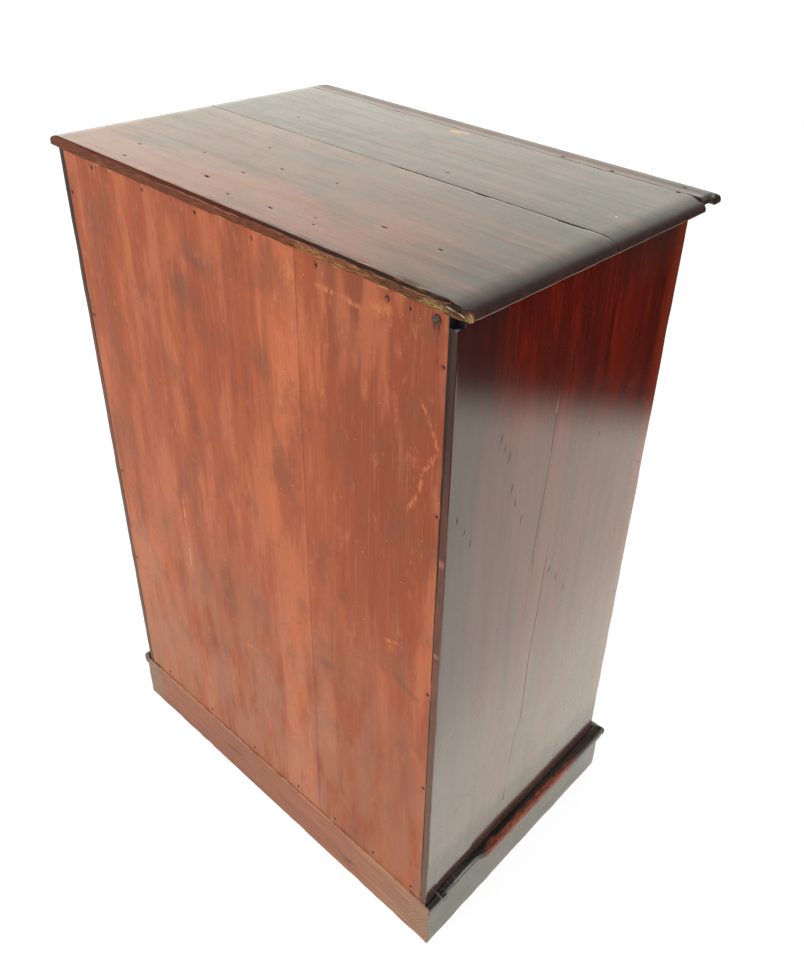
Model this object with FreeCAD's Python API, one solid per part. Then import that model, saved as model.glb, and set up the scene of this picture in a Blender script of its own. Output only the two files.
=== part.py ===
import FreeCAD
import Part
import math
import os

# Tabletop specimen cabinet: a nailed pine case on a plinth, with eight shallow
# drawers that slide on side runners. Millimetres. +Z is up, the drawer fronts
# face -Y, and left and right are as seen from the front (left is -X). The
# origin is the bottom centre of the whole cabinet.

# --- case ---------------------------------------------------------------
total_height = 640.0
case_width = 421.5
case_depth = 258.5
side_thickness = 13.0
back_thickness = 8.0
base_thickness = 15.0
rail_height = 14.0
front_rail_depth = 30.0
back_rail_depth = 20.0
housing_depth = 5.0
rebate_width = 6.5

# --- top ----------------------------------------------------------------
top_thickness = 10.0
side_overhang = 9.5
front_overhang = 35.5
back_overhang = 1.3
strip_width = 30.0
strip_end_short = 3.7
top_joint_from_back = 147.0
board_gap = 0.3
nose_reach = 16.0
nose_radius = 5.0
nose_under_radius = 1.8

# --- back boards --------------------------------------------------------
back_joint_x = -72.5
narrow_board_width = 42.5

# --- plinth and its cap moulding ----------------------------------------
plinth_height = 55.0
plinth_side_proud = 5.0
plinth_front_proud = 10.0
plinth_board = 24.0
plinth_back_board = 20.0
moulding_height = 6.0
moulding_lap = 11.0
moulding_nose = 4.5

# --- drawers ------------------------------------------------------------
drawer_count = 8
shallowest_pitch = 52.0
front_thickness = 14.0
front_gap = 1.0
box_board = 8.0
bottom_thickness = 5.0
bottom_inset = 3.0
groove_depth = 4.0
side_clearance = 0.5
running_clearance = 0.3
rear_gap = 6.5
box_below_front_top = 2.5
runner_height = 6.0
runner_width = 10.0
runner_setback = 1.0
lap_thickness = 4.0
tail_spacing = 24.0
tail_slope = 1.0 / 6.0
tail_share = 0.55

# --- knobs --------------------------------------------------------------
knob_from_end = 92.0
knob_radius = 10.0
knob_neck_radius = 5.0
knob_collar_radius = 7.5
knob_projection = 21.0
peg_radius = 4.0
peg_length = 11.0
peg_clearance = 0.15

# --- nails --------------------------------------------------------------
nail_radius = 0.9
nail_length = 20.0
nail_head_radius = 2.1
nail_head_thickness = 0.7
nail_clearance = 0.1
nail_below_top = 5.5
# places along the half width of the back, and along the height of its edges
top_nail_places = (-0.952, -0.76, -0.453, -0.145, 0.16, 0.47, 0.80)
base_nail_places = (-0.94, -0.706, -0.456, -0.2, 0.128, 0.472, 0.845)
edge_nail_places = (0.27, 0.46, 0.75, 0.94)

# --- what follows from them ---------------------------------------------
total_depth = front_overhang + case_depth + back_overhang
back_y = total_depth / 2 - back_overhang
front_y = back_y - case_depth
half_case = case_width / 2
half_inside = half_case - side_thickness
half_back = half_case - side_thickness + rebate_width
case_top = total_height - top_thickness
rail_bottom = case_top - rail_height
base_top = plinth_height + base_thickness
opening_height = rail_bottom - base_top
pitch_step = ((opening_height - drawer_count * shallowest_pitch)
              / (drawer_count * (drawer_count - 1) / 2))
back_inner_y = back_y - back_thickness
half_top = half_case + side_overhang
top_front_y = front_y - front_overhang
strip_joint_y = top_front_y + strip_width
board_joint_y = back_y - top_joint_from_back
half_plinth = half_case + plinth_side_proud
plinth_front_y = front_y - plinth_front_proud
plinth_back_y = back_y + back_overhang
half_box = half_inside - side_clearance
box_rear_y = back_inner_y - rear_gap
front_back_y = front_y + front_thickness


def box(x0, x1, y0, y1, z0, z1):
    """A block between two corners."""
    return Part.makeBox(x1 - x0, y1 - y0, z1 - z0, FreeCAD.Vector(x0, y0, z0))


def prism(points, z0, z1):
    """An outline in the ground plane, raised from z0 to z1."""
    corners = [FreeCAD.Vector(x, y, z0) for x, y in points]
    outline = Part.makePolygon(corners + corners[:1])
    return Part.Face(outline).extrude(FreeCAD.Vector(0, 0, z1 - z0))


def mirrored(shape):
    """The same piece on the other side of the cabinet."""
    return shape.mirror(FreeCAD.Vector(0, 0, 0), FreeCAD.Vector(1, 0, 0))


def save(name, solids):
    """Write one sub-part, which may be a group of separate solids."""
    shape = solids[0] if len(solids) == 1 else Part.makeCompound(solids)
    shape.exportStep(os.path.join("parts", name + ".step"))


def point_on(centre, radius, degrees):
    """A point of a circle in a section's plane."""
    angle = math.radians(degrees)
    return (centre[0] + radius * math.cos(angle), centre[1] + radius * math.sin(angle))


def half_round(low, high):
    """Arcs of a half round that ends at 0 outward, from its lower to its upper end."""
    radius = (high - low) / 2
    centre = (-radius, (high + low) / 2)
    return [[point_on(centre, radius, angle) for angle in (-90, 0, 90)]]


def thumb(low, high):
    """Arcs of a thumb edge: tight below, then a long fall from the upper face."""
    under = (-nose_under_radius, low + nose_under_radius)
    small = (-nose_radius, under[1])
    rise = high - under[1]
    reach = nose_reach - nose_radius
    large_radius = ((reach ** 2 + rise ** 2 - nose_radius ** 2)
                    / (2 * (rise - nose_radius)))
    large = (-nose_reach, high - large_radius)
    meet = math.degrees(math.atan2(small[1] - large[1], small[0] - large[0]))
    return [[point_on(under, nose_under_radius, angle) for angle in (-90, -45, 0)],
            [point_on(small, nose_radius, angle) for angle in (0, meet / 2, meet)],
            [point_on(large, large_radius, angle) for angle in (meet, (meet + 90) / 2, 90)]]


def section(inner, outer, low, high, edge, place, run):
    """A board whose outer edge is worked to some arcs, extruded along run."""
    turn = math.copysign(1, outer - inner)
    arcs = [[place(outer + turn * a, z) for a, z in arc] for arc in edge(low, high)]
    lines = [Part.LineSegment(place(inner, low), arcs[0][0]).toShape()]
    lines += [Part.Arc(*arc).toShape() for arc in arcs]
    lines += [Part.LineSegment(arcs[-1][-1], place(inner, high)).toShape(),
              Part.LineSegment(place(inner, high), place(inner, low)).toShape()]
    return Part.Face(Part.Wire(lines)).extrude(run)


def nosed_along_y(inner, outer, low, high, edge, y0, y1):
    """A board along Y with its outer edge worked."""
    return section(inner, outer, low, high, edge, lambda x, z: FreeCAD.Vector(x, y0, z),
                   FreeCAD.Vector(0, y1 - y0, 0))


def nosed_along_x(inner, outer, low, high, edge, x0, x1):
    """A board along X with its outer edge worked."""
    return section(inner, outer, low, high, edge, lambda y, z: FreeCAD.Vector(x0, y, z),
                   FreeCAD.Vector(x1 - x0, 0, 0))


def top_board(y0, y1):
    """One board of the top, with a thumb edge worked on both ends."""
    left = nosed_along_y(0, -half_top, case_top, total_height, thumb, y0, y1)
    right = nosed_along_y(0, half_top, case_top, total_height, thumb, y0, y1)
    return left.fuse(right).removeSplitter().Solids[0]


def top_front_strip():
    """The narrow strip in front of the boards, with a thumb edge in front."""
    return nosed_along_x(strip_joint_y - board_gap, top_front_y, case_top, total_height, thumb,
                         -half_top + strip_end_short, half_top)


def base_board():
    """The floor of the case, housed in both sides."""
    reach = half_inside + housing_depth
    return box(-reach, reach, front_y, back_inner_y, plinth_height, base_top)


def top_rail(y0, y1):
    """A rail under the top, housed in both sides."""
    reach = half_inside + housing_depth
    return box(-reach, reach, y0, y1, rail_bottom, case_top)


def case_side(housed, nail_holes):
    """The left side: a wide board rebated for the back and cut for what it houses."""
    side = box(-half_case, -half_inside, front_y, back_y, plinth_height, case_top)
    rebate = box(-half_back, -half_inside, back_inner_y, back_y, plinth_height, case_top)
    return side.cut([rebate] + housed + nail_holes).Solids[0]


def back_board(x0, x1, nail_holes):
    """One upright board of the back."""
    board = box(x0, x1, back_inner_y, back_y, plinth_height, case_top)
    return board.cut(nail_holes).Solids[0]


def plinth_side():
    """The left plinth board, mitred at the front; its back end shows end grain."""
    inner = -half_plinth + plinth_board
    points = [(-half_plinth, plinth_back_y), (-half_plinth, plinth_front_y),
              (inner, plinth_front_y + plinth_board), (inner, plinth_back_y)]
    return prism(points, 0, plinth_height)


def plinth_front():
    """The front plinth board, mitred at both ends."""
    inner = half_plinth - plinth_board
    points = [(-half_plinth, plinth_front_y), (half_plinth, plinth_front_y),
              (inner, plinth_front_y + plinth_board), (-inner, plinth_front_y + plinth_board)]
    return prism(points, 0, plinth_height)


def plinth_back_rail():
    """The back plinth board, between the two side ones."""
    inner = half_plinth - plinth_board
    return box(-inner, inner, plinth_back_y - plinth_back_board, plinth_back_y,
               0, plinth_height)


def inside_moulding():
    """The outside of the case and the plinth, which the mouldings are fitted round."""
    case = box(-half_case, half_case, front_y, plinth_back_y, 0, total_height)
    foot = box(-half_plinth, half_plinth, plinth_front_y, plinth_back_y, 0, plinth_height)
    return [case, foot]


def mitre_corner():
    """The outer point of the moulding's left front mitre."""
    return (-half_plinth - moulding_nose, plinth_front_y - moulding_nose)


def moulding_side():
    """The left cap moulding: it laps the plinth's top edge, against the case."""
    x, y = mitre_corner()
    low, high = plinth_height - moulding_lap, plinth_height + moulding_height
    reach = front_y - y
    bar = nosed_along_y(x + reach, x, low, high, half_round, y, plinth_back_y)
    points = [(x, plinth_back_y), (x, y), (x + reach, y + reach), (x + reach, plinth_back_y)]
    return bar.common(prism(points, low, high)).cut(inside_moulding()).Solids[0]


def moulding_front():
    """The front cap moulding, mitred at both ends."""
    x, y = mitre_corner()
    low, high = plinth_height - moulding_lap, plinth_height + moulding_height
    reach = front_y - y
    bar = nosed_along_x(front_y, y, low, high, half_round, x, -x)
    points = [(x, y), (-x, y), (-x - reach, front_y), (x + reach, front_y)]
    return bar.common(prism(points, low, high)).cut(inside_moulding()).Solids[0]


def nail_spots():
    """Where the nails of the back go: along the top rail, the base and both edges."""
    rail_z = case_top - nail_below_top
    base_z = plinth_height + base_thickness / 2
    edge_x = half_inside + rebate_width / 2
    spots = [(place * half_back, rail_z) for place in top_nail_places]
    spots += [(place * half_back, base_z) for place in base_nail_places]
    for place in edge_nail_places:
        z = plinth_height + place * (case_top - plinth_height)
        spots += [(-edge_x, z), (edge_x, z)]
    return spots


def nail(x, z, extra=0.0):
    """A nail driven in from the back, or, with extra, the hole it fills."""
    inward = FreeCAD.Vector(0, -1, 0)
    shank = Part.makeCylinder(nail_radius + extra, nail_length + extra,
                              FreeCAD.Vector(x, back_y, z), inward)
    if extra:
        return shank
    head = Part.makeCylinder(nail_head_radius, nail_head_thickness,
                             FreeCAD.Vector(x, back_y + nail_head_thickness, z), inward)
    return shank.fuse(head).removeSplitter().Solids[0]


def drawer_floor_z(index):
    """The bottom of a drawer's opening; drawer 0 is the top and shallowest one."""
    depth_below = sum(drawer_pitch(i) for i in range(index + 1))
    return rail_bottom - depth_below


def drawer_pitch(index):
    """The height that a drawer takes up; each is a step deeper than the one above."""
    return shallowest_pitch + index * pitch_step


def tails(x0, x1, root_y, tip_y, z0, z1):
    """The dovetail tails of a drawer side's end, wider at the tip than at the root."""
    count = max(1, round((z1 - z0) / tail_spacing))
    spacing = (z1 - z0) / count
    root = spacing * tail_share / 2
    tip = root + abs(tip_y - root_y) * tail_slope
    solids = []
    for i in range(count):
        middle = z0 + (i + 0.5) * spacing
        corners = [(root_y, middle - root), (tip_y, middle - tip),
                   (tip_y, middle + tip), (root_y, middle + root)]
        points = [FreeCAD.Vector(x0, y, z) for y, z in corners]
        outline = Part.makePolygon(points + points[:1])
        solids.append(Part.Face(outline).extrude(FreeCAD.Vector(x1 - x0, 0, 0)))
    return solids


def knob(x, z):
    """A turned knob with its peg, standing out of the drawer front towards -Y."""
    tip = knob_projection
    profile = [(-peg_length, 0), (-peg_length, peg_radius), (0, peg_radius),
               (0, knob_collar_radius), (0.12 * tip, knob_collar_radius)]
    neck = [(0.2 * tip, knob_neck_radius + 1), (0.42 * tip, knob_neck_radius)]
    head = [(0.62 * tip, knob_radius), (tip, 0.3 * knob_radius)]
    crown = (0.9 * tip, 0.78 * knob_radius)

    def at(point):
        return FreeCAD.Vector(x + point[1], front_y - point[0], z)

    edges = [Part.LineSegment(at(a), at(b)).toShape() for a, b in zip(profile, profile[1:])]
    edges.append(Part.Arc(at(profile[-1]), at(neck[0]), at(neck[1])).toShape())
    edges.append(Part.LineSegment(at(neck[1]), at(head[0])).toShape())
    edges.append(Part.Arc(at(head[0]), at(crown), at(head[1])).toShape())
    edges.append(Part.LineSegment(at(head[1]), at((tip, 0))).toShape())
    edges.append(Part.LineSegment(at((tip, 0)), at(profile[0])).toShape())
    face = Part.Face(Part.Wire(edges))
    return face.revolve(FreeCAD.Vector(x, 0, z), FreeCAD.Vector(0, 1, 0), 360)


def drawer_parts(index):
    """One drawer: front, two sides, back, bottom and two knobs, in its own places."""
    floor_z = drawer_floor_z(index)
    front_z0 = floor_z + front_gap / 2
    front_z1 = floor_z + drawer_pitch(index) - front_gap / 2
    low = floor_z + runner_height + running_clearance
    high = front_z1 - box_below_front_top
    groove_z0 = low + bottom_inset
    groove_z1 = groove_z0 + bottom_thickness
    inner = half_box - box_board
    lap_y = front_y + lap_thickness
    knob_x = half_inside - knob_from_end
    knob_z = (front_z0 + front_z1) / 2

    front_tails = tails(-half_box, -inner, front_back_y, lap_y, low, high)
    rear_tails = tails(-half_box, -inner, box_rear_y - box_board, box_rear_y, groove_z1, high)
    bottom = box(-inner - groove_depth, inner + groove_depth,
                 front_back_y - groove_depth, box_rear_y, groove_z0, groove_z1)

    web = box(-half_box, -inner, front_back_y, box_rear_y - box_board, low, high)
    foot = box(-half_box, -inner, box_rear_y - box_board, box_rear_y, low, groove_z1)
    side = web.fuse([foot] + front_tails + rear_tails).removeSplitter().cut(bottom).Solids[0]

    pegs = [Part.makeCylinder(peg_radius + peg_clearance, peg_length + peg_clearance,
                              FreeCAD.Vector(x, front_y, knob_z), FreeCAD.Vector(0, 1, 0))
            for x in (-knob_x, knob_x)]
    sockets = front_tails + [mirrored(tail) for tail in front_tails]
    front = box(-half_box, half_box, front_y, front_back_y, front_z0, front_z1)
    front = front.cut(sockets + pegs + [bottom]).Solids[0]

    rear_sockets = rear_tails + [mirrored(tail) for tail in rear_tails]
    back = box(-half_box, half_box, box_rear_y - box_board, box_rear_y, groove_z1, high)
    back = back.cut(rear_sockets).Solids[0]

    return {"front": [front], "sides": [side, mirrored(side)], "back": [back],
            "bottom": [bottom], "knobs": [knob(-knob_x, knob_z), knob(knob_x, knob_z)]}


def drawer_runners():
    """A pair of runners for each drawer, glued to the sides of the case."""
    solids = []
    for index in range(drawer_count):
        z = drawer_floor_z(index)
        left = box(-half_inside, -half_inside + runner_width,
                   front_back_y + runner_setback, back_inner_y, z, z + runner_height)
        solids += [left, mirrored(left)]
    return solids


def build():
    """Make every sub-part and write it to its own file."""
    os.makedirs("parts", exist_ok=True)
    spots = nail_spots()
    holes = [nail(x, z, nail_clearance) for x, z in spots]
    base = base_board()
    front_rail = top_rail(front_y, front_y + front_rail_depth)
    back_rail = top_rail(back_inner_y - back_rail_depth, back_inner_y)
    side = case_side([base, front_rail, back_rail], holes)
    narrow_x = back_joint_x + narrow_board_width

    save("case_side_left", [side])
    save("case_side_right", [mirrored(side)])
    save("base_board", [base.cut(holes).Solids[0]])
    save("top_rail_front", [front_rail])
    save("top_rail_back", [back_rail.cut(holes).Solids[0]])
    save("top_rear_board", [top_board(board_joint_y, plinth_back_y)])
    save("top_front_board", [top_board(strip_joint_y, board_joint_y - board_gap)])
    save("top_front_strip", [top_front_strip()])
    save("back_board_left", [back_board(-half_back, back_joint_x, holes)])
    save("back_board_narrow", [back_board(back_joint_x + board_gap, narrow_x, holes)])
    save("back_board_wide", [back_board(narrow_x + board_gap, half_back, holes)])
    save("plinth_left", [plinth_side()])
    save("plinth_right", [mirrored(plinth_side())])
    save("plinth_front", [plinth_front()])
    save("plinth_back_rail", [plinth_back_rail()])
    save("moulding_left", [moulding_side()])
    save("moulding_right", [mirrored(moulding_side())])
    save("moulding_front", [moulding_front()])
    save("drawer_runners", drawer_runners())
    save("back_nails", [nail(x, z) for x, z in spots])
    for index in range(drawer_count):
        for piece, solids in drawer_parts(index).items():
            save("drawer_%d_%s" % (index + 1, piece), solids)


build()
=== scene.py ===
from functools import partial, reduce
import math
from operator import mul, or_
import bmesh
import bpy
import numpy as np
from mathutils import Matrix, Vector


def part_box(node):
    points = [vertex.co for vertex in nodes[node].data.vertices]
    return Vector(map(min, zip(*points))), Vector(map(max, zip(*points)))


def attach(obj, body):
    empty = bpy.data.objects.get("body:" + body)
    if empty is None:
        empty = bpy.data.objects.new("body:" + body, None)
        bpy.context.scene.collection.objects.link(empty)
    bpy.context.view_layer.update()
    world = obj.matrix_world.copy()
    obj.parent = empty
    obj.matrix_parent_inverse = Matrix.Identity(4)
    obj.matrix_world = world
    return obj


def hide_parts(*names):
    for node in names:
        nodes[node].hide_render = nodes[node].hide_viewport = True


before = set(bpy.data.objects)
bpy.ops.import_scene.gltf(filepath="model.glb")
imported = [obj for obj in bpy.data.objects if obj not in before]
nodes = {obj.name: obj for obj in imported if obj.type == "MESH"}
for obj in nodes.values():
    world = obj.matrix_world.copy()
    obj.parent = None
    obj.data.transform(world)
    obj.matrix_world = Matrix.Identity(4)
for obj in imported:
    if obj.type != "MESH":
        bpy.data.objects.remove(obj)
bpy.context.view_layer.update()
MM = 0.001
X, Y, Z = 0, 1, 2


# ---------------------------------------------------------------- numbers and noise
def span(node):
    """Lowest and highest corner of a CAD node, in millimetres."""
    return [np.array(corner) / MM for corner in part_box(node)]


def smooth(value, start, end):
    """0 before start and 1 after end, with a soft step between them; start may be the higher."""
    t = np.clip((value - start) / (end - start), 0, 1)
    return t * t * (3 - 2 * t)


def bell(*ways):
    """1 at the middle and falling off with the distance, given as one number for each way."""
    return np.exp(-sum(way ** 2 for way in ways))


def noise(points, size, seed, layers=1):
    """Repeatable noise from -1 to 1 with features of about size mm, one number or one per axis."""
    total = np.zeros(len(points))
    for layer in range(layers):
        place = points / (np.array(size, float) / 2 ** layer) + 31.7 * (seed + layer)
        cell = np.floor(place).astype(np.int64)
        t = place - cell
        t = t * t * (3 - 2 * t)
        for corner in np.ndindex(2, 2, 2):
            i, j, k = (cell + corner).T
            h = (i * 73856093 ^ j * 19349663 ^ k * 83492791 ^ (seed + 1) * 40503) & 0xFFFFFFFF
            h = ((h ^ (h >> 15)) * 2246822519) & 0xFFFFFFFF
            h = ((h ^ (h >> 13)) * 3266489917) & 0xFFFFFFFF
            value = ((h ^ (h >> 16)) & 0xFFFF) / 32767.5 - 1
            total += np.prod(np.where(corner, t, 1 - t), axis=1) * value / 2 ** layer
    return total


# ---------------------------------------------------------------- lattice boards
def planes(low, high, step, near=(), far=(), fixed=()):
    """Lattice planes from low to high about a step apart.

    Some are exactly this far in from the near and the far end, and the fixed ones exactly where they are.
    """
    kept = np.unique(np.round(np.concatenate([[low, high], low + np.array(near), high - np.array(far), fixed]), 4))
    kept = kept[(kept >= round(low, 4)) & (kept <= round(high, 4))]
    out = [kept[0]]
    for a, b in zip(kept[:-1], kept[1:]):
        out.extend(np.linspace(a, b, max(1, round((b - a) / step)) + 1)[1:])
    return np.array(out)


def around(places, reaches):
    """Planes on both sides of each place."""
    return np.concatenate([[p + s * r for r in reaches for s in (-1, 1)] for p in np.atleast_1d(places)])


def thinned(places, least=0.35):
    """The places in order, without those closer than least to the one before."""
    out = []
    for place in np.sort(np.atleast_1d(places)):
        if not out or place - out[-1] >= least:
            out.append(place)
    return np.array(out)


def skin(xs, ys, zs, keep=None):
    """The outside of a lattice of cells; keep says which cells are wood."""
    grid = [np.asarray(p, float) for p in (xs, ys, zs)]
    shape = [len(p) for p in grid]
    middles = [(p[1:] + p[:-1]) / 2 for p in grid]
    wood = np.zeros([n + 1 for n in shape], bool)
    wood[1:-1, 1:-1, 1:-1] = keep(*np.meshgrid(*middles, indexing="ij")) if keep else True
    quads = []
    for axis in range(3):
        for side in (0, 1):
            cells = np.argwhere(wood & ~np.roll(wood, -1 if side else 1, axis)) - 1
            corners = []
            for a, b in [(0, 0), (1, 0), (1, 1), (0, 1)][::1 if side else -1]:
                step = np.roll([side, a, b], axis)
                corners.append(np.ravel_multi_index((cells + step).T, shape))
            quads.append(np.stack(corners, 1))
    used, quads = np.unique(np.concatenate(quads), return_inverse=True)
    index = np.unravel_index(used, shape)
    return np.stack([grid[a][index[a]] for a in range(3)], 1), quads.reshape(-1, 4)


def block(low, high, *rows):
    """The skin of a board; each axis has its step, its planes near the two ends and its fixed ones."""
    return skin(*[planes(a, b, *row) for a, b, row in zip(low, high, rows)])


# the thumb edge of the top: how far it reaches in, and the radii of its nose and its underside
REACH, NOSE, UNDER = 16.0, 5.0, 1.8
# lattice planes that the edge is made from, as ways in from the end and heights
THUMB_IN = np.array([0.9, 1.8, 3.4, 5.6, 8.4, 12.0, 16.0])
THUMB_UP = np.array([0, 0.8, 1.7, 2.9, 4.0, 5.0, 6.2, 7.6, 8.8, 10.0])


def arc(across, up, radius, start, end, steps=24):
    """Points of an arc from one angle to another."""
    turn = np.linspace(start, end, steps)
    return np.stack([across + radius * np.cos(turn), up + radius * np.sin(turn)], 1)


def thumb_outline(thick):
    """The thumb edge as seen from the middle of the board where it starts: rise angles and distances."""
    wide = ((REACH - NOSE) ** 2 + (thick - UNDER) ** 2 - NOSE ** 2) / (2 * (thick - UNDER - NOSE))
    meet = math.atan2(UNDER - thick + wide, REACH - NOSE)
    run = np.concatenate([np.stack([np.linspace(0, REACH - UNDER, 24), np.zeros(24)], 1),
                          arc(REACH - UNDER, UNDER, UNDER, -math.pi / 2, 0), arc(REACH - NOSE, UNDER, NOSE, 0, meet),
                          arc(0, thick - wide, wide, meet, math.pi / 2)])
    run[:, 1] -= thick / 2
    return np.arctan2(run[:, 1], run[:, 0]), np.hypot(*run.T)


def thumbed(points, axis, end):
    """Works the top's square edge at end into a thumb edge."""
    low, high = top_low[Z], top_high[Z]
    middle, turn = (high + low) / 2, math.copysign(1, end)
    a, b = REACH - turn * (end - points[:, axis]), points[:, Z] - middle
    rise = np.arctan2(b, a)
    far = np.maximum(a / REACH, abs(b) * 2 / (high - low)) * np.interp(rise, *thumb_outline(high - low))
    there = a > 1e-6
    out = points.copy()
    out[there, axis] = (end - turn * (REACH - far * np.cos(rise)))[there]
    out[there, Z] = (middle + far * np.sin(rise))[there]
    return out


def bar(outline, stations):
    """A closed bar: an outline of (out, up) pairs repeated at each station; columns are out, station, up."""
    count = len(outline)
    points = np.concatenate([np.insert(outline, 1, s, axis=1) for s in stations])
    faces = [tuple(range(count))[::-1], tuple(range(len(points) - count, len(points)))]
    for start in range(0, len(points) - count, count):
        for i in range(count):
            j = (i + 1) % count
            faces.append((start + i, start + j, start + count + j, start + count + i))
    return points, faces


def slid(points, axis, low, high, before, after):
    """Lengthens a board along axis by before and after at its ends, which may differ from point to point."""
    a, b = low[axis], high[axis]
    out = points.copy()
    out[:, axis] = a - before + (points[:, axis] - a) * (b - a + before + after) / (b - a)
    return out


# ---------------------------------------------------------------- wear
def arris_gap(points, low, high):
    """Distance from the nearest arris of a block, and the ways in from its two faces."""
    below, above = points - low, high - points
    gap = np.minimum(below, above)
    edge = np.sort(gap, axis=1)[:, 1]
    inward = np.where(below < above, 1.0, -1.0) * (gap <= edge[:, None] + 0.01)
    return np.maximum(edge, 0), inward


def rubbed(points, low, high, depth, seed, size=14):
    """Wears the arrises of a block unevenly, by up to depth."""
    edge, inward = arris_gap(points, low, high)
    bite = np.clip(0.35 + 0.9 * noise(points, size, seed, 3), 0, 1)
    return points + inward * (depth * bite * bell(edge / 1.3))[:, None]


def thin_arris(points, low, high, strength, reach=0.9):
    """Where the finish is rubbed off the arrises."""
    return {"worn": strength * bell(arris_gap(points, low, high)[0] / reach)}


def dented(points, place, depth, radii, axis):
    """Presses a small hollow into a face, down along axis."""
    out = points.copy()
    out[:, axis] -= depth * bell(*((points - place) / radii).T)
    return out


# ---------------------------------------------------------------- pieces
def read(items, field):
    """A vector of each item, such as its place."""
    values = np.zeros(len(items) * 3)
    items.foreach_get(field, values)
    return values.reshape(-1, 3)


def piece(node, points, faces, slot, materials, wear=None, paint=None, arris=0.5, body="case", **looks):
    """A closed mesh in millimetres, with eased arrises, that stands for a CAD node and rides on a body."""
    mesh = bpy.data.meshes.new("shown_" + node)
    mesh.from_pydata((points * MM).tolist(), [], faces.tolist() if hasattr(faces, "tolist") else faces)
    if arris:
        ease(mesh, arris)
    co = read(mesh.vertices, "co") / MM
    if wear:
        co = wear(co, *span(node))
        mesh.vertices.foreach_set("co", (co * MM).ravel())
    for key, values in (paint(co, *span(node)) if paint else {}).items():
        layer = mesh.attributes.new(key, "FLOAT", "POINT")
        layer.data.foreach_set("value", np.clip(values, 0, 1).astype(np.float32))
    placed(mesh, node, slot, materials, body, **looks)


def ease(mesh, width, shortest=0.0):
    """Rounds the arrises of a mesh by width mm, but for those shorter than shortest."""
    bm = bmesh.new()
    bm.from_mesh(mesh)
    sharp = [e for e in bm.edges if len(e.link_faces) == 2 and e.calc_face_angle() > math.radians(40)
             and e.calc_length() > shortest * MM]
    bmesh.ops.bevel(bm, geom=sharp, offset=width * MM, offset_type="OFFSET", segments=2, profile=0.5,
                    affect="EDGES", clamp_overlap=True)
    bm.to_mesh(mesh)
    bm.free()


def in_scene(name, data):
    """A new object in the scene."""
    made = bpy.data.objects.new(name, data)
    bpy.context.scene.collection.objects.link(made)
    return made


def placed(mesh, node, slot, materials, body, grain=None, split=None, smooth_angle=50):
    """Makes the object of a mesh, with its finishes, parents it to its body and hides its CAD node.

    The second finish goes on faces across the grain, or split says which finish each face has.
    """
    for material in materials:
        mesh.materials.append(material)
    if len(materials) > 1:
        mesh.update()
        normals, centres = read(mesh.polygons, "normal"), read(mesh.polygons, "center") / MM
        chosen = split(centres, normals, *span(node)) if split else abs(normals[:, grain]) > 0.75
        mesh.polygons.foreach_set("material_index", chosen.astype(np.int32))
    mesh.shade_smooth()
    mesh.set_sharp_from_angle(angle=math.radians(smooth_angle))
    mesh.update()
    made = in_scene("shown_" + node, mesh)
    made.modifiers.new("even_normals", "WEIGHTED_NORMAL").keep_sharp = True
    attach(made, body)
    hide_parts(node)


# ---------------------------------------------------------------- shading
def math_node(kind):
    """The method of a value that joins it with another one, or works on it alone."""
    return lambda a, b=0.0: a.shade.math(kind, a, b)


class Value:
    """What a node gives: a number, which can be reckoned with, or a place, colour or shader."""
    __mul__, __add__, __sub__ = math_node("MULTIPLY"), math_node("ADD"), math_node("SUBTRACT")
    __or__, __abs__ = math_node("MAXIMUM"), math_node("ABSOLUTE")

    def __init__(self, shade, socket):
        self.shade, self.socket = shade, socket


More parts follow.
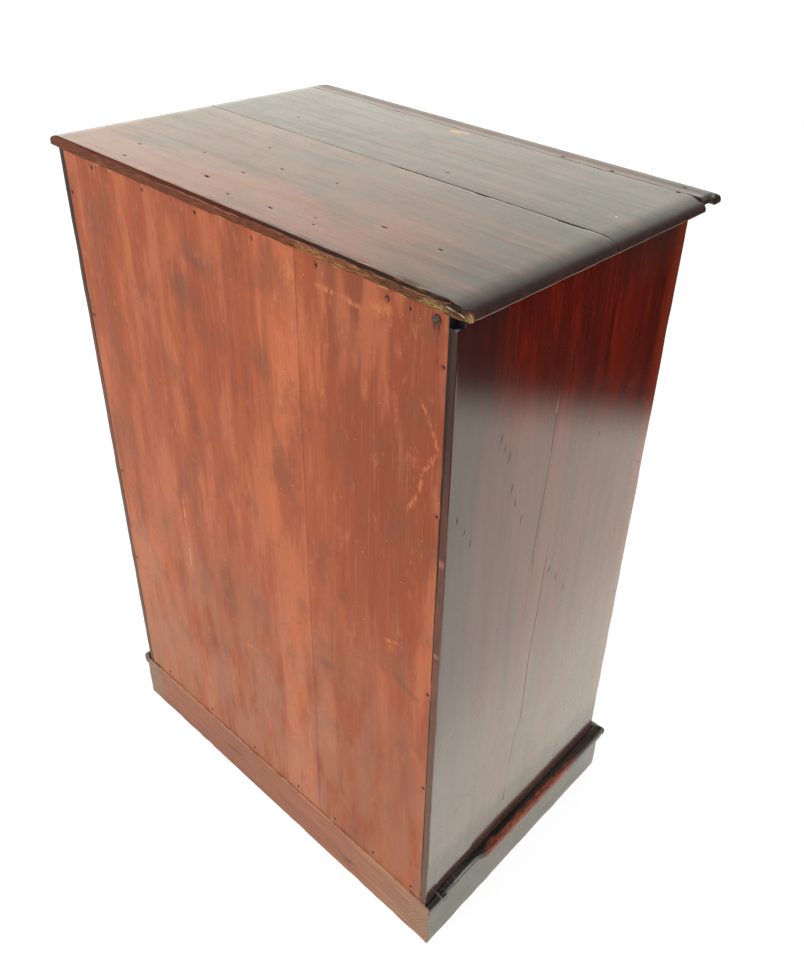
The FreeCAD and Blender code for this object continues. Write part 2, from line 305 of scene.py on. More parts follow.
class Shade:
    """A material, or the world, and short calls that add its nodes.

    Sizes and places of noise and spots are in millimetres, the coordinates themselves in metres.
    """

    def __init__(self, name, world=False):
        self.owner = (bpy.data.worlds if world else bpy.data.materials).new(name)
        self.owner.use_nodes = True
        self.tree, self.output = self.owner.node_tree, "OutputWorld" if world else "OutputMaterial"
        self.tree.nodes.clear()
        self.coords = self.add("TexCoord", out="Generated" if world else "Object")
        self.place = [self.add("SeparateXYZ", [self.coords], axis) for axis in (X, Y, Z)]

    def add(self, kind, inputs=(), out=0, **settings):
        """Adds a node; inputs are a list or named, and out says which output is wanted."""
        made = self.tree.nodes.new("ShaderNode" + kind)
        for key, value in settings.items():
            setattr(made, key, value)
        for key, value in inputs.items() if isinstance(inputs, dict) else enumerate(inputs):
            socket = made.inputs[key]
            if isinstance(value, Value):
                self.tree.links.new(value.socket, socket)
            else:
                socket.default_value = (*value, 1) if socket.type == "RGBA" else value
        return Value(self, made.outputs[out]) if made.outputs else None

    def math(self, kind, a, b=0.0, clamp=False):
        """Sums; clamp keeps the result from 0 to 1."""
        return self.add("Math", (a, b), operation=kind, use_clamp=clamp)

    def vector(self, kind, *inputs, out=0):
        """Sums with places."""
        return self.add("VectorMath", inputs, out, operation=kind)

    def ramp(self, value, *ends, kind="SMOOTHSTEP"):
        """A soft step between two ends, from 0 to 1 or between two more numbers."""
        return self.add("MapRange", (value, *ends), interpolation_type=kind)

    def line(self, value, *ends):
        """The same without softness."""
        return self.ramp(value, *ends, kind="LINEAR")

    def wobble(self, size, reach, at, detail=3, rough=0.6):
        """Noise from -reach to reach."""
        return self.line(self.noise(size, at, detail, rough), 0.3, 0.7, -reach, reach)

    def mix(self, factor, a, b):
        """Colour a where factor is 0 and b where it is 1."""
        return self.add("Mix", {0: factor, 6: a, 7: b}, 2, data_type="RGBA")

    def lay(self, colour, amount, *steps):
        """A coat of colour where all the steps are 1; a step is a mask, or a value and the ends of its ramp."""
        mask = reduce(mul, [self.ramp(*step) if isinstance(step, tuple) else step for step in steps])
        self.colour = self.mix(mask * amount, self.colour, colour)

    def noise(self, size, at, detail=3, rough=0.6, coords=None, out="Fac"):
        """Noise with features of a size, one number or one per axis; at says where in it to begin."""
        size, at = np.broadcast_to(size, 3), at if isinstance(at, list) else [at, at * 0.7, at * 1.3]
        place = self.add("Mapping", {"Vector": coords or self.coords, "Location": at, "Scale": 1 / (size * MM)})
        return self.add("TexNoise", {"Vector": place, "Scale": 1, "Detail": detail, "Roughness": rough}, out)

    def colours(self, value, *stops):
        """Colours in order of their places."""
        made = self.add("ValToRGB", [value])
        elements = made.socket.node.color_ramp.elements
        for place, _ in stops[2:]:
            elements.new(place)
        for element, (place, colour) in zip(elements, stops):
            element.position, element.color = place, (*colour, 1)
        return made

    def attribute(self, name):
        """A number that the mesh has at its points, such as worn or raw."""
        return self.add("Attribute", out="Fac", attribute_name=name)

    def ragged(self, size, amount, at):
        """The coordinates pushed about by noise, for marks with uneven outlines."""
        push = self.vector("SUBTRACT", self.noise(size, [at] * 3, 2, 0.5, out="Color"), (0.5,) * 3)
        return self.vector("ADD", self.coords, self.vector("MULTIPLY", push, (2 * amount * MM,) * 3))

    def spot(self, centre, radii, turn=(0, 0, 0), edge=0.5, coords=None):
        """1 inside an ellipsoid and 0 outside it."""
        local = self.add("Mapping", {"Vector": coords or self.coords, "Location": [c * MM for c in centre],
                                     "Rotation": [math.radians(t) for t in turn],
                                     "Scale": [r * MM for r in radii]}, vector_type="TEXTURE")
        return self.ramp(self.vector("LENGTH", local, out="Value"), 1.0, edge)

    THROUGH = 6   # how far a mark reaches into its face

    def strokes(self, points, width, plane, across, coords=None):
        """A chain of long thin spots through points that are (across, z) on an upright face."""
        made = []
        for (a0, z0), (a1, z1) in zip(points[:-1], points[1:]):
            long = math.hypot(a1 - a0, z1 - z0) / 2 + width
            turn = math.degrees(math.atan2(z1 - z0, a1 - a0))
            centre, radii, turns = [(z0 + z1) / 2] * 3, [width] * 3, [0, 0, 0]
            centre[across], centre[1 - across] = (a0 + a1) / 2, plane
            radii[across], radii[1 - across] = long, self.THROUGH
            turns[1 - across] = -turn if across == X else turn
            made.append(self.spot(centre, radii, turns, 0.3, coords))
        return reduce(or_, made)

    def marks(self, plane, spots=(), paths=(), coords=None):
        """Marks on a face that looks backward.

        Spots are x, z, half width, half height, turn and edge; paths are chains of points and a half width.
        """
        return reduce(or_, [self.spot((x, plane, z), (a, self.THROUGH, b), (0, turn, 0), edge, coords)
                            for x, z, a, b, turn, edge in spots]
                      + [self.strokes(path, width, plane, X, coords) for path, width in paths])

    def bump(self, height, distance, strength, normal=None):
        """Relief of a depth in millimetres, on top of another one if there is one."""
        under = {"Normal": normal} if normal else {}
        return self.add("Bump", {"Height": height, "Distance": distance * MM, "Strength": strength, **under})

    def finish(self, rough, normal, **inputs):
        """The colour under the given gloss, as a finished material."""
        inputs = {"Base Color": self.colour, "Roughness": rough, "Normal": normal, **inputs}
        return self.surface(self.add("BsdfPrincipled", inputs))

    def by_ray(self, plain, glossy, seen):
        """One look for the light on the object, one for what the varnish shows and one for the camera."""
        ray = {kind: self.add("LightPath", out=f"Is {kind} Ray") for kind in ("Camera", "Transmission", "Glossy")}
        mixed = self.add("MixShader", (ray["Glossy"], plain, glossy))
        return self.surface(self.add("MixShader", (ray["Camera"] | ray["Transmission"], mixed, seen)))

    def surface(self, shader):
        """The finished material or world."""
        self.add(self.output, {"Surface": shader})
        return self.owner


def drawn(along, across, stretch):
    """Feature sizes of noise drawn out along the grain."""
    sizes = [across] * 3
    sizes[along] = across * stretch
    return sizes


def figure(s, along, seed, broad=30, streak=5, fine=0.8):
    """Streaks of pine under its finish, from 0 to 1, and the fine grain alone."""
    curl = s.ragged(90, 5, seed)
    wide = s.noise(drawn(along, broad, 9), seed, 2, 0.5, curl)
    middle = s.noise(drawn(along, streak, 26), seed + 3.1, 3, 0.55, curl)
    thin = s.noise(drawn(along, fine, 60), seed + 7.7, 2)
    return wide * 0.42 + middle * 0.38 + thin * 0.2, thin


# gloss that is the same all over a stained piece
GLOSS = {"Coat Weight": 1.0, "Coat Roughness": 0.11, "Coat IOR": 1.62, "IOR": 1.5, "Specular IOR Level": 0.2}
SIDE_GLOSS = {**GLOSS, "Coat IOR": 1.76, "Specular IOR Level": 0.05}
SATIN = {**GLOSS, "Coat Weight": 0.60}
DULL = {"Coat Weight": 0.35, "Coat Roughness": 0.22, "Coat IOR": 1.4, "IOR": 1.4}
# dark, middle and bright tones of the stain
CASE_TONES = (0.060, 0.004, 0.002), (0.118, 0.007, 0.002), (0.180, 0.012, 0.003)
TOP_TONES = (0.050, 0.020, 0.013), (0.085, 0.030, 0.019), (0.130, 0.046, 0.028)
PLINTH_TONES = (0.022, 0.016, 0.011), (0.034, 0.022, 0.014), (0.058, 0.028, 0.018)
FRONT_TONES = (0.050, 0.009, 0.005), (0.098, 0.016, 0.008), (0.165, 0.030, 0.012)
KNOB_TONES = (0.022, 0.007, 0.005), (0.045, 0.011, 0.007), (0.085, 0.020, 0.010)
RAW_PALE, RAW_WARM = (0.56, 0.36, 0.15), (0.34, 0.14, 0.05)


def stained(name, along, tones, seed, tune=None, marks=None, gloss=GLOSS, rough=(0.16, 0.32), streaky=0.12):
    """Mahogany stain and old varnish on pine."""
    s = Shade(name)
    streaks, thin = figure(s, along, seed)
    s.colour = s.colours(streaks, *zip((0.36, 0.5, 0.66), tones))
    if tune:
        tune(s)
    s.lay([c * 0.4 for c in tones[0]], 0.35, (s.noise(drawn(along, 0.9, 12), seed + 11, 1, 0.5), 0.68, 0.78))
    s.lay((0.30, 0.10, 0.04), 1, s.attribute("worn"), (s.noise(5, seed + 2), 0.42, 0.62))
    bitten = s.attribute("raw")
    fibre = s.noise(drawn(along, 0.7, 14), seed + 5, 3, 0.65)
    s.lay(s.colours(fibre, (0.24, [c * 0.25 for c in RAW_WARM]), (0.32, RAW_WARM), (0.62, RAW_PALE)), 1, bitten)
    if marks:
        bitten = bitten | marks(s)
    smears = s.line(s.noise(26, seed + 9), 0.3, 0.7, *rough)
    coat_normal = s.bump(s.noise(drawn(along, 20, 9), seed + 4, 1, 0.5), 0.35, 0.12)
    dull = s.ramp(s.noise(drawn(along, 8, 14), seed + 15), 0.44, 0.66) * streaky
    coat = s.math("SUBTRACT", gloss["Coat Weight"], bitten * 0.92 | dull, clamp=True)
    return s.finish(s.math("ADD", smears, bitten * 0.6, clamp=True), s.bump(thin, 0.03, 0.4, coat_normal),
                    **{**gloss, "Coat Normal": coat_normal, "Coat Weight": coat})


def end_grain(name, pith, along, dark, pale, seed, ring=3.2, rough=0.5, dirty=0.5):
    """Growth rings round the pith on a cut end, under thin stain."""
    s = Shade(name)
    near = s.vector("SUBTRACT", s.ragged(22, 2.4, seed), [p * MM for p in pith])
    near = s.vector("MULTIPLY", near, [float(axis != along) for axis in (X, Y, Z)])
    wave = s.math("SINE", s.vector("LENGTH", near, out="Value") * (2 * math.pi / (ring * MM)))
    value = s.line(wave, -1, 1, 0.25, 0.75) + s.wobble(1.1, 0.2, seed)
    s.colour = s.colours(value, (0.15, dark), (0.85, pale))
    s.lay([c * 0.45 for c in dark], dirty, (s.noise(9, seed + 6), 0.45, 0.7))
    return s.finish(rough, s.bump(value, 0.35, 0.7))


def bare_pine(name, along, seed):
    """Planed pine, unfinished, yellowed and a little dusty."""
    s = Shade(name)
    streaks, thin = figure(s, along, seed, 24, 6, 0.9)
    s.colour = s.colours(streaks, (0.34, (0.3, 0.175, 0.075)), (0.48, (0.47, 0.31, 0.155)), (0.64, (0.6, 0.42, 0.23)))
    s.lay((0.22, 0.16, 0.1), 0.35, (s.noise(40, seed + 2), 0.4, 0.75))
    return s.finish(s.line(streaks, 0.3, 0.7, 0.55, 0.75), s.bump(thin, 0.12, 0.6), IOR=1.45)


def iron(name):
    """Dull iron with rust."""
    s = Shade(name)
    rust = s.ramp(s.noise(1.2, 3), 0.42, 0.6)
    s.colour = s.mix(rust, (0.075, 0.075, 0.075), (0.085, 0.03, 0.016))
    return s.finish(s.line(rust, 0, 1, 0.42, 0.8), s.bump(s.noise(0.7, 8), 0.15, 0.8), Metallic=0.55)


# ---------------------------------------------------------------- finish of the top
top_low, top_high = span("top_rear_board")
side_low, side_high = span("case_side_left")
back_low, back_high = span("back_board_wide")
BACK_Y = side_high[Y]
# where the top's boards meet, across the top in metres
JOINT, SEAM = -0.0008, -0.1178

# nicks in the top: x, y, length along the grain, width
TOP_NICKS = [(51.1, 120.1, 5.5, 2.2), (41.4, 95.5, 3.4, 1.6), (29.5, 69.1, 3.0, 1.4), (76.5, 42.3, 3.0, 1.4),
             (-28.2, 127.7, 4.2, 1.5), (-103.5, 96.6, 4.5, 1.8), (132.0, -35.0, 2.6, 1.3), (129.5, 136.7, 3.2, 1.6),
             (147.5, 111.9, 3.2, 1.5), (11.4, 132.0, 2.8, 1.4), (-153.1, 97.7, 2.6, 1.7), (-55.3, -19.3, 3.6, 1.4),
             (-70.0, 127.0, 2.2, 1.2), (-62.0, 118.0, 2.0, 1.1), (98.0, 88.0, 2.0, 1.2), (-20.0, 60.0, 2.4, 1.1)]
# heads of nails that hold the front strip and boards: x, y
TOP_NAILS = [(-194.4, -129.3), (-196.8, -115.6), (-88.6, -121.3), (-135.5, -120.7)]


def tune_top(s):
    """The rear board is warm, the front board greener toward one end; down the thumb edges, painted shade in dark slate
    above, red below.
    """
    x, y, z = s.place
    s.lay((0.19, 0.058, 0.027), 0.55, (y, JOINT, 0.0), (x, -0.2, 0.05))
    s.lay((0.33, 0.086, 0.036), 0.9, (y, 0.03, 0.115), (x, -0.195, -0.09),
          (s.noise((120, 50, 50), 19, rough=0.55), 0.25, 0.6))
    s.lay((0.05, 0.052, 0.028), 0.85, (x, -0.1, 0.16), (y, 0.0, JOINT), (y, SEAM - 0.0001, SEAM + 0.0001))
    s.lay((0.034, 0.036, 0.024), 0.75, (x + y * 0.25, -0.1, -0.2))
    stripes = s.noise((240, 14, 40), 21, rough=0.55)
    s.lay((0.026, 0.022, 0.018), 0.45, (stripes, 0.54, 0.68))
    s.lay((0.25, 0.078, 0.04), 0.5, (stripes, 0.47, 0.32))
    s.lay((0.026, 0.036, 0.03), 0.5, (s.noise((70, 38, 40), 27, 4), 0.5, 0.66))
    dashes = s.noise((20, 2.2, 20), 24)
    s.lay((0.016, 0.016, 0.016), 0.6, (dashes, 0.58, 0.7))
    s.lay((0.26, 0.11, 0.07), 0.5, (dashes, 0.4, 0.28))
    s.lay((0.15, 0.056, 0.038), 1, (y, SEAM + 0.0001, SEAM - 0.0002), (x, -0.2, -0.12, 0.2, 0.75))
    s.lay((0.06, 0.09, 0.1), 0.45, s.spot((-44.7, 128.6, 640), (16, 5, 6), (0, 0, -8), 0.1, s.ragged(8, 3, 4)))
    # down the thumb edge: painted shade, a dark slate band where the edge turns down, then dull red in small blotches
    over = abs(x) + s.wobble(9, 0.003, 42)
    s.lay((0.03, 0.031, 0.028), 0.75, (over, 0.206, 0.2125))
    blotch = s.noise((3, 7, 3), 43, 4, 0.65)
    s.lay(s.mix(s.ramp(blotch, 0.36, 0.66), (0.028, 0.016, 0.013), (0.072, 0.022, 0.017)), 1,
          (z + s.wobble(5, 0.0012, 41), 0.6392, 0.6358), (over, 0.206, 0.213), (blotch, 0.3, 0.5, 0.5, 0.95))


def mark_top(s):
    """Nicks, nail heads, a bare chip and paint specks; also where they break the varnish."""
    x, y, z = s.place
    rag = s.ragged(2.0, 0.5, 7)
    nicks = reduce(or_, [s.spot((nx, ny, 639.6), (long * 0.95, wide * 0.9, 2), (0, 0, (i * 37) % 24 - 12), 0.3, rag)
                         for i, (nx, ny, long, wide) in enumerate(TOP_NICKS)])
    s.lay((0.014, 0.012, 0.012), 0.9, nicks)
    nails = reduce(or_, [s.spot((nx, ny, 639.6), (2.8, 1.8, 2), edge=0.6, coords=rag) for nx, ny in TOP_NAILS])
    s.lay((0.014, 0.013, 0.014), 1, nails)
    tiny = s.ramp(s.noise((2.4, 1.2, 9), 57, 1, 0.5), 0.745, 0.79) * s.ramp(z, 0.638, 0.6395)
    s.lay((0.02, 0.016, 0.014), 0.7, tiny)
    chip = (s.spot((14.5, -109.4, 640), (9.0, 5.0, 3), (0, 0, 14), 0.6, rag)
            | s.spot((5.4, -111.6, 640), (5.0, 2.8, 3), edge=0.55, coords=rag))
    s.lay((0.9, 0.6, 0.36), 1, chip)
    specks = s.spot((-109.5, -118.3, 640), (1.1, 0.9, 2)) | s.spot((-194.5, -35.7, 640), (1.4, 1.1, 2))
    s.lay((0.78, 0.76, 0.7), 1, specks)
    joint = s.ramp(abs(y - JOINT), 0.0008, 0.0003) * s.ramp(x, -0.012, -0.004, 0.0, 0.5)
    s.lay((0.045, 0.016, 0.011), 1, joint)
    seam = s.ramp(abs(y - SEAM), 0.001, 0.0003) * 0.5
    s.lay((0.03, 0.012, 0.008), 1, seam)
    # a pale line low on the thumb edge
    s.lay((0.3, 0.21, 0.17), 0.8, (z, 0.6317, 0.6313), (abs(x), 0.215, 0.217))
    torn = s.attribute("torn") * 0.9
    s.lay((0.03, 0.021, 0.016), 1, torn)
    under, strip = s.ramp(z, 0.6384, 0.6354) * 0.85, s.ramp(y, SEAM, -0.13) * 0.45
    return reduce(or_, [nicks * 0.95, nails, tiny * 0.6, chip, specks, joint, seam, under, torn, strip])


def top_rear_edge(name):
    """The matt rear edge: a thin pinkish arris that is worn and has a painted highlight, a dark band under it, then
    brown with bare torn places.
    """
    s = Shade(name)
    x, _, z = s.place
    height = z + s.wobble((34, 9, 6), 0.0009, 12)
    fine = s.noise((7, 4, 0.8), 14, 3, 0.65)
    s.colour = s.colours(fine, (0.36, (0.110, 0.030, 0.015)), (0.64, (0.260, 0.082, 0.044)))
    s.lay(s.colours(fine, (0.40, (0.018, 0.010, 0.006)), (0.66, (0.200, 0.075, 0.034))), 1, (x, -0.10, -0.16, 0.0, 0.8))
    band = s.ramp(height, 0.6364, 0.637) * s.ramp(x, 0.19, 0.02) | s.ramp(height, 0.6384, 0.6388)
    s.lay(s.mix(s.ramp(x, 0.03, -0.11), (0.090, 0.013, 0.005), (0.022, 0.012, 0.008)), 0.92, band)
    s.lay((0.42, 0.17, 0.1), 0.8, (height, 0.6353, 0.6359), (height, 0.6368, 0.6362), (x, 0.1, 0.02), (fine, 0.34, 0.5))
    # the thin pinkish upper arris: wear, with a painted highlight on it
    s.lay((0.24, 0.085, 0.065), 0.7, (z, 0.6394, 0.6397))
    s.lay((0.115, 0.08, 0.055), 0.8, (x, 0.211, 0.218))
    fibre = s.noise((5.5, 3, 0.7), 16, 3, 0.7)
    warm = s.mix(s.ramp(x, -0.150, -0.185), (0.50, 0.22, 0.085), (0.56, 0.36, 0.14))
    s.lay(s.mix(s.ramp(fibre, 0.54, 0.42), warm, (0.10, 0.036, 0.014)), 1, s.attribute("raw"))
    # the hollow of the missing splinter, and its pale rim
    hollow = s.marks(147, [(-209, 636.2, 9.5, 2.3, 8, 0.7), (-193, 638.6, 16, 1.1, 3, 0.5)], (), s.ragged(2.0, 0.5, 7))
    s.lay(s.mix(s.ramp(fibre, 0.42, 0.56), (0.012, 0.009, 0.007), (0.085, 0.055, 0.032)), 1, hollow)
    rim = s.marks(147.5, paths=[([(-203, 639.3), (-212, 638.7), (-219, 637.0)], 0.6),
                                ([(-200, 634.6), (-209, 633.4), (-217, 632.8)], 0.4)])
    s.lay((0.66, 0.56, 0.42), 1, rim, (fine, 0.3, 0.44))
    return s.finish(s.line(fine, 0.3, 0.7, 0.6, 0.8), s.bump(fine + fibre, 0.25, 0.8), IOR=1.25)


# ---------------------------------------------------------------- finish of the sides
# nicks and bruises in the left side: y, z, half width, half height, turn
SIDE_NICKS = [(95.8, 527.4, 1.6, 5.0, 8), (91.0, 517.0, 1.5, 4.0, 0), (84.8, 507.9, 1.6, 5.0, 10),
              (78.7, 478.2, 1.7, 5.0, 12), (73.0, 463.0, 1.5, 4.5, -6), (63.6, 443.5, 1.6, 4.5, 8),
              (136.7, 483.1, 1.8, 4.0, 0), (128.0, 468.0, 1.5, 3.4, 20), (121.2, 454.7, 1.8, 4.0, 8),
              (16.0, 366.1, 1.6, 5.0, 14), (4.0, 350.0, 1.5, 4.5, 8), (-9.9, 330.9, 1.6, 4.5, 14),
              (-105.6, 409.9, 1.7, 1.9, 0), (-105.8, 261.7, 1.5, 2.0, 0), (-29.5, 474.5, 1.4, 1.8, 0),
              (60.4, 561.6, 1.5, 2.0, 0), (-23.5, 515.9, 1.4, 1.8, 0)]
SCRATCH = [(34.1, 187.8), (58.0, 192.0), (72.7, 190.0), (85.9, 166.3), (104.0, 162.0), (122.1, 150.0)]


def tune_side(s):
    """Vivid red in the middle and a painted reflection of the floor low down; dull toward the back edge; painted shade
    just under the nose and just above the moulding; bright along the front edge.
    """
    _, y, z = s.place
    vivid = s.ramp(z, 0.43, 0.55, 0.35, 1.0)
    lines, thin = s.noise((20, 15, 110), 61, 5, 0.66), s.noise((10, 2.6, 240), 66)
    s.lay((0.066, 0.004, 0.002), 0.6, (lines, 0.52, 0.68))
    s.lay((0.23, 0.013, 0.0005), 0.7, (lines, 0.52, 0.34), vivid)
    s.lay((0.04, 0.002, 0.002), 0.5, (thin, 0.56, 0.68))
    s.lay((0.29, 0.016, 0.001), 0.35, (thin, 0.42, 0.3), vivid)
    s.lay((0.04, 0.012, 0.01), 0.85, (y + s.wobble((9, 9, 90), 0.012, 5, 2, 0.5), 0.075, 0.135))
    # painted shade just under the top's nose
    s.lay((0.06, 0.02, 0.016), 0.7, (z, 0.575, 0.625), (y, 0.02, -0.08))
    s.lay((0.26, 0.034, 0.008), 0.7, (y, -0.090, -0.110))
    # painted reflection of the floor: paler grey low down
    s.lay((0.36, 0.31, 0.26), 0.42, (z, 0.36, 0.19), (s.noise((30, 40, 90), 76), 0.2, 0.7, 0.7, 1.0))
    # painted shade and painted reflection of the moulding, just above it
    s.lay((0.052, 0.018, 0.014), 0.75, (z + s.wobble((14, 24, 14), 0.006, 68), 0.125, 0.095))


def mark_side(s):
    """Bruises, the dark rear brink and a long faint scratch; also where they break the varnish."""
    outer, rag = side_low[X], s.ragged(2.5, 0.45, 7)
    nicks = reduce(or_, [s.spot((outer, y, z), (3, wide * 0.55, tall * 1.3), (turn, 0, 0), 0.2, rag)
                         for y, z, wide, tall, turn in SIDE_NICKS])
    s.lay((0.01, 0.006, 0.006), 0.9, nicks)
    brink = s.ramp(s.place[Y], 0.1452, 0.1457) * s.ramp(s.place[Z], 0.34, 0.46)
    s.lay((0.02, 0.01, 0.008), 0.9, brink)
    scratch = s.strokes(SCRATCH, 0.8, outer, Y, rag)
    s.lay((0.24, 0.09, 0.06), 0.7, scratch)
    return nicks * 0.75 | scratch * 0.35 | brink


def side_lip(name):
    """Dull brown paint on the rear edges of the sides, bare in rubbed spots, with painted shade in the gap beside the
    boards and in the notch under the top.
    """
    s = Shade(name)
    x, _, z = s.place
    mottle = s.noise((6, 6, 24), 31, 4, 0.62)
    s.colour = s.colours(mottle, (0.35, (0.11, 0.036, 0.024)), (0.65, (0.235, 0.085, 0.056)))
    s.lay((0.15, 0.098, 0.072), 0.8, (z, 0.42, 0.12))
    s.lay((0.04, 0.013, 0.01), 0.9, (z, 0.4, 0.58))
    rag = s.ragged(3, 0.8, 7)
    s.lay((0.46, 0.21, 0.1), 0.6, reduce(or_, [s.spot((-207, 146, height), (5, 4, half), edge=0.2, coords=rag)
                                               for height, half in ((364, 3), (450, 5))]))
    # painted shade of a gap beside the back boards, wider higher up
    gap = abs(x) + s.wobble((20, 20, 60), 0.0004, 33, 2, 0.5) - s.ramp(z, 0.4, 0.58, -0.0002, 0.002)
    s.lay((0.016, 0.006, 0.005), 1, (gap, 0.2052, 0.2046))
    # painted shade inside the notch under the top
    s.lay((0.022, 0.021, 0.022), 1, (z, 0.6205, 0.6235))
    s.lay((0.15, 0.175, 0.18), 1, s.spot((-209.8, 145.8, 623.0), (2.4, 2.4, 1.7), edge=0.75, coords=rag))
    return s.finish(s.line(mottle, 0.3, 0.7, 0.45, 0.65), s.bump(mottle, 0.3, 0.6), IOR=1.35)


def tune_moulding(s):
    """Dark with dirt on top, rubbed through to orange-red low on the nose, browner toward the front."""
    _, y, z = s.place
    lines = s.noise((1.6, 90, 1.6), 70, 2, 0.55)
    s.colour = s.mix(s.ramp(lines, 0.42, 0.62) * 0.8, (0.036, 0.031, 0.026), (0.012, 0.011, 0.01))
    s.lay((0.06, 0.036, 0.024), 0.6, (y, -0.045, -0.08), (lines, 0.6, 0.45))
    patches = s.line(s.noise((14, 24, 14), 71), 0.3, 0.7, 0.42, 0.58) + s.line(z, 0.0566, 0.0619, 0.26, -0.16)
    red = s.mix(s.ramp(s.noise((4, 9, 3), 73), 0.36, 0.62), (0.150, 0.022, 0.009), (0.340, 0.066, 0.018))
    s.lay(red, 0.9, (patches, 0.44, 0.52), (y, -0.085, -0.05), (y, 0.077, 0.064))
    s.lay(s.mix(s.ramp(lines, 0.42, 0.58), (0.055, 0.052, 0.046), (0.014, 0.012, 0.01)), 1, (y, 0.0840, 0.0880))
    s.lay((0.012, 0.01, 0.008), 0.6, (s.noise((2.5, 6, 2.5), 75), 0.56, 0.66))
    # painted reflection: pale grey on the flat top of the broken strip and on the stump
    strip = s.ramp(z, 0.0561, 0.0567) * s.ramp(z, 0.0588, 0.0582) * s.ramp(y, 0.09, 0.092) * s.ramp(y, 0.115, 0.113)
    s.lay((0.2, 0.195, 0.165), 1, strip | s.ramp(y, 0.131, 0.1318) * s.ramp(y, 0.1334, 0.1328) * 0.6)


# ---------------------------------------------------------------- finish of the back
# nails of the back, read from the CAD node: x, z
nail_points = read(nodes["back_nails"].data.vertices, "co") / MM


def nail_centres():
    """Middle of each nail's head, from the shared CAD node's loose solids."""
    heads = []
    for x, _, z in nail_points[nail_points[:, Y] > BACK_Y + 0.1]:
        for head in heads:
            if math.hypot(x - head[0][0], z - head[0][1]) < 5:
                head.append((x, z))
                break
        else:
            heads.append([(x, z)])
    return [tuple((np.min(head, 0) + np.max(head, 0)) / 2) for head in heads]


NAILS = nail_centres()
BIG_NAIL = (-194.5, 623.5)

# marks on the back, as in Shade.marks
SCUFF_SPOTS = [(-150, 615, 15, 8, 12, 0.1), (14, 214, 14, 6, 14, 0.1), (-66, 612, 10, 26, 0, 0.0)]
SCUFF_PATHS = [([(-184.7, 567.5), (-194.5, 549.8), (-201.0, 535.7), (-187.5, 513.8), (-185.8, 497.5),
                 (-174.9, 476.0)], 2.6),
               ([(-89.9, 611.3), (-112.0, 612.0), (-134.2, 609.4)], 3.2), ([(-153.8, 344.9), (-170.3, 350.5)], 3.0),
               ([(-48.9, 327.8), (-61.7, 334.9)], 1.6)]
SMUDGES = [(40, 588, 34, 9, -8, 0.0), (-88, 268, 13, 11, 0, 0.0), (60, 560, 20, 30, 0, 0.0), (-118, 196, 6, 7, 0, 0.1)]
SMUDGE_PATH = [([(-167.9, 315.8), (-179, 309), (-191.2, 305.4)], 5.0)]
PALE_SCRATCH = [([(98.1, 352.6), (98.4, 300.0), (97.8, 251.4)], 0.7)]
SPLITS_OF_BACK = [([(-195.4, 636), (-195.0, 628)], 0.35), ([(-195.4, 619), (-196.0, 604), (-196.5, 590)], 0.35),
                  ([(-173.7, 630), (-174.0, 624)], 0.3), ([(-92.4, 628.5), (-93.4, 623.5)], 0.6),
                  ([(-29.7, 628.3), (-30.2, 624)], 0.35), ([(157.0, 630), (157.8, 621)], 0.5),
                  ([(143.6, 629), (143.0, 624.5)], 0.8), ([(-91.4, 629), (-91.2, 625.5)], 0.3)]
EMPTY_HOLES = [(-174.0, 623.4, 1.3, 1.7, 0, 0.6), (-30.3, 623.4, 1.2, 1.2, 0, 0.6)]


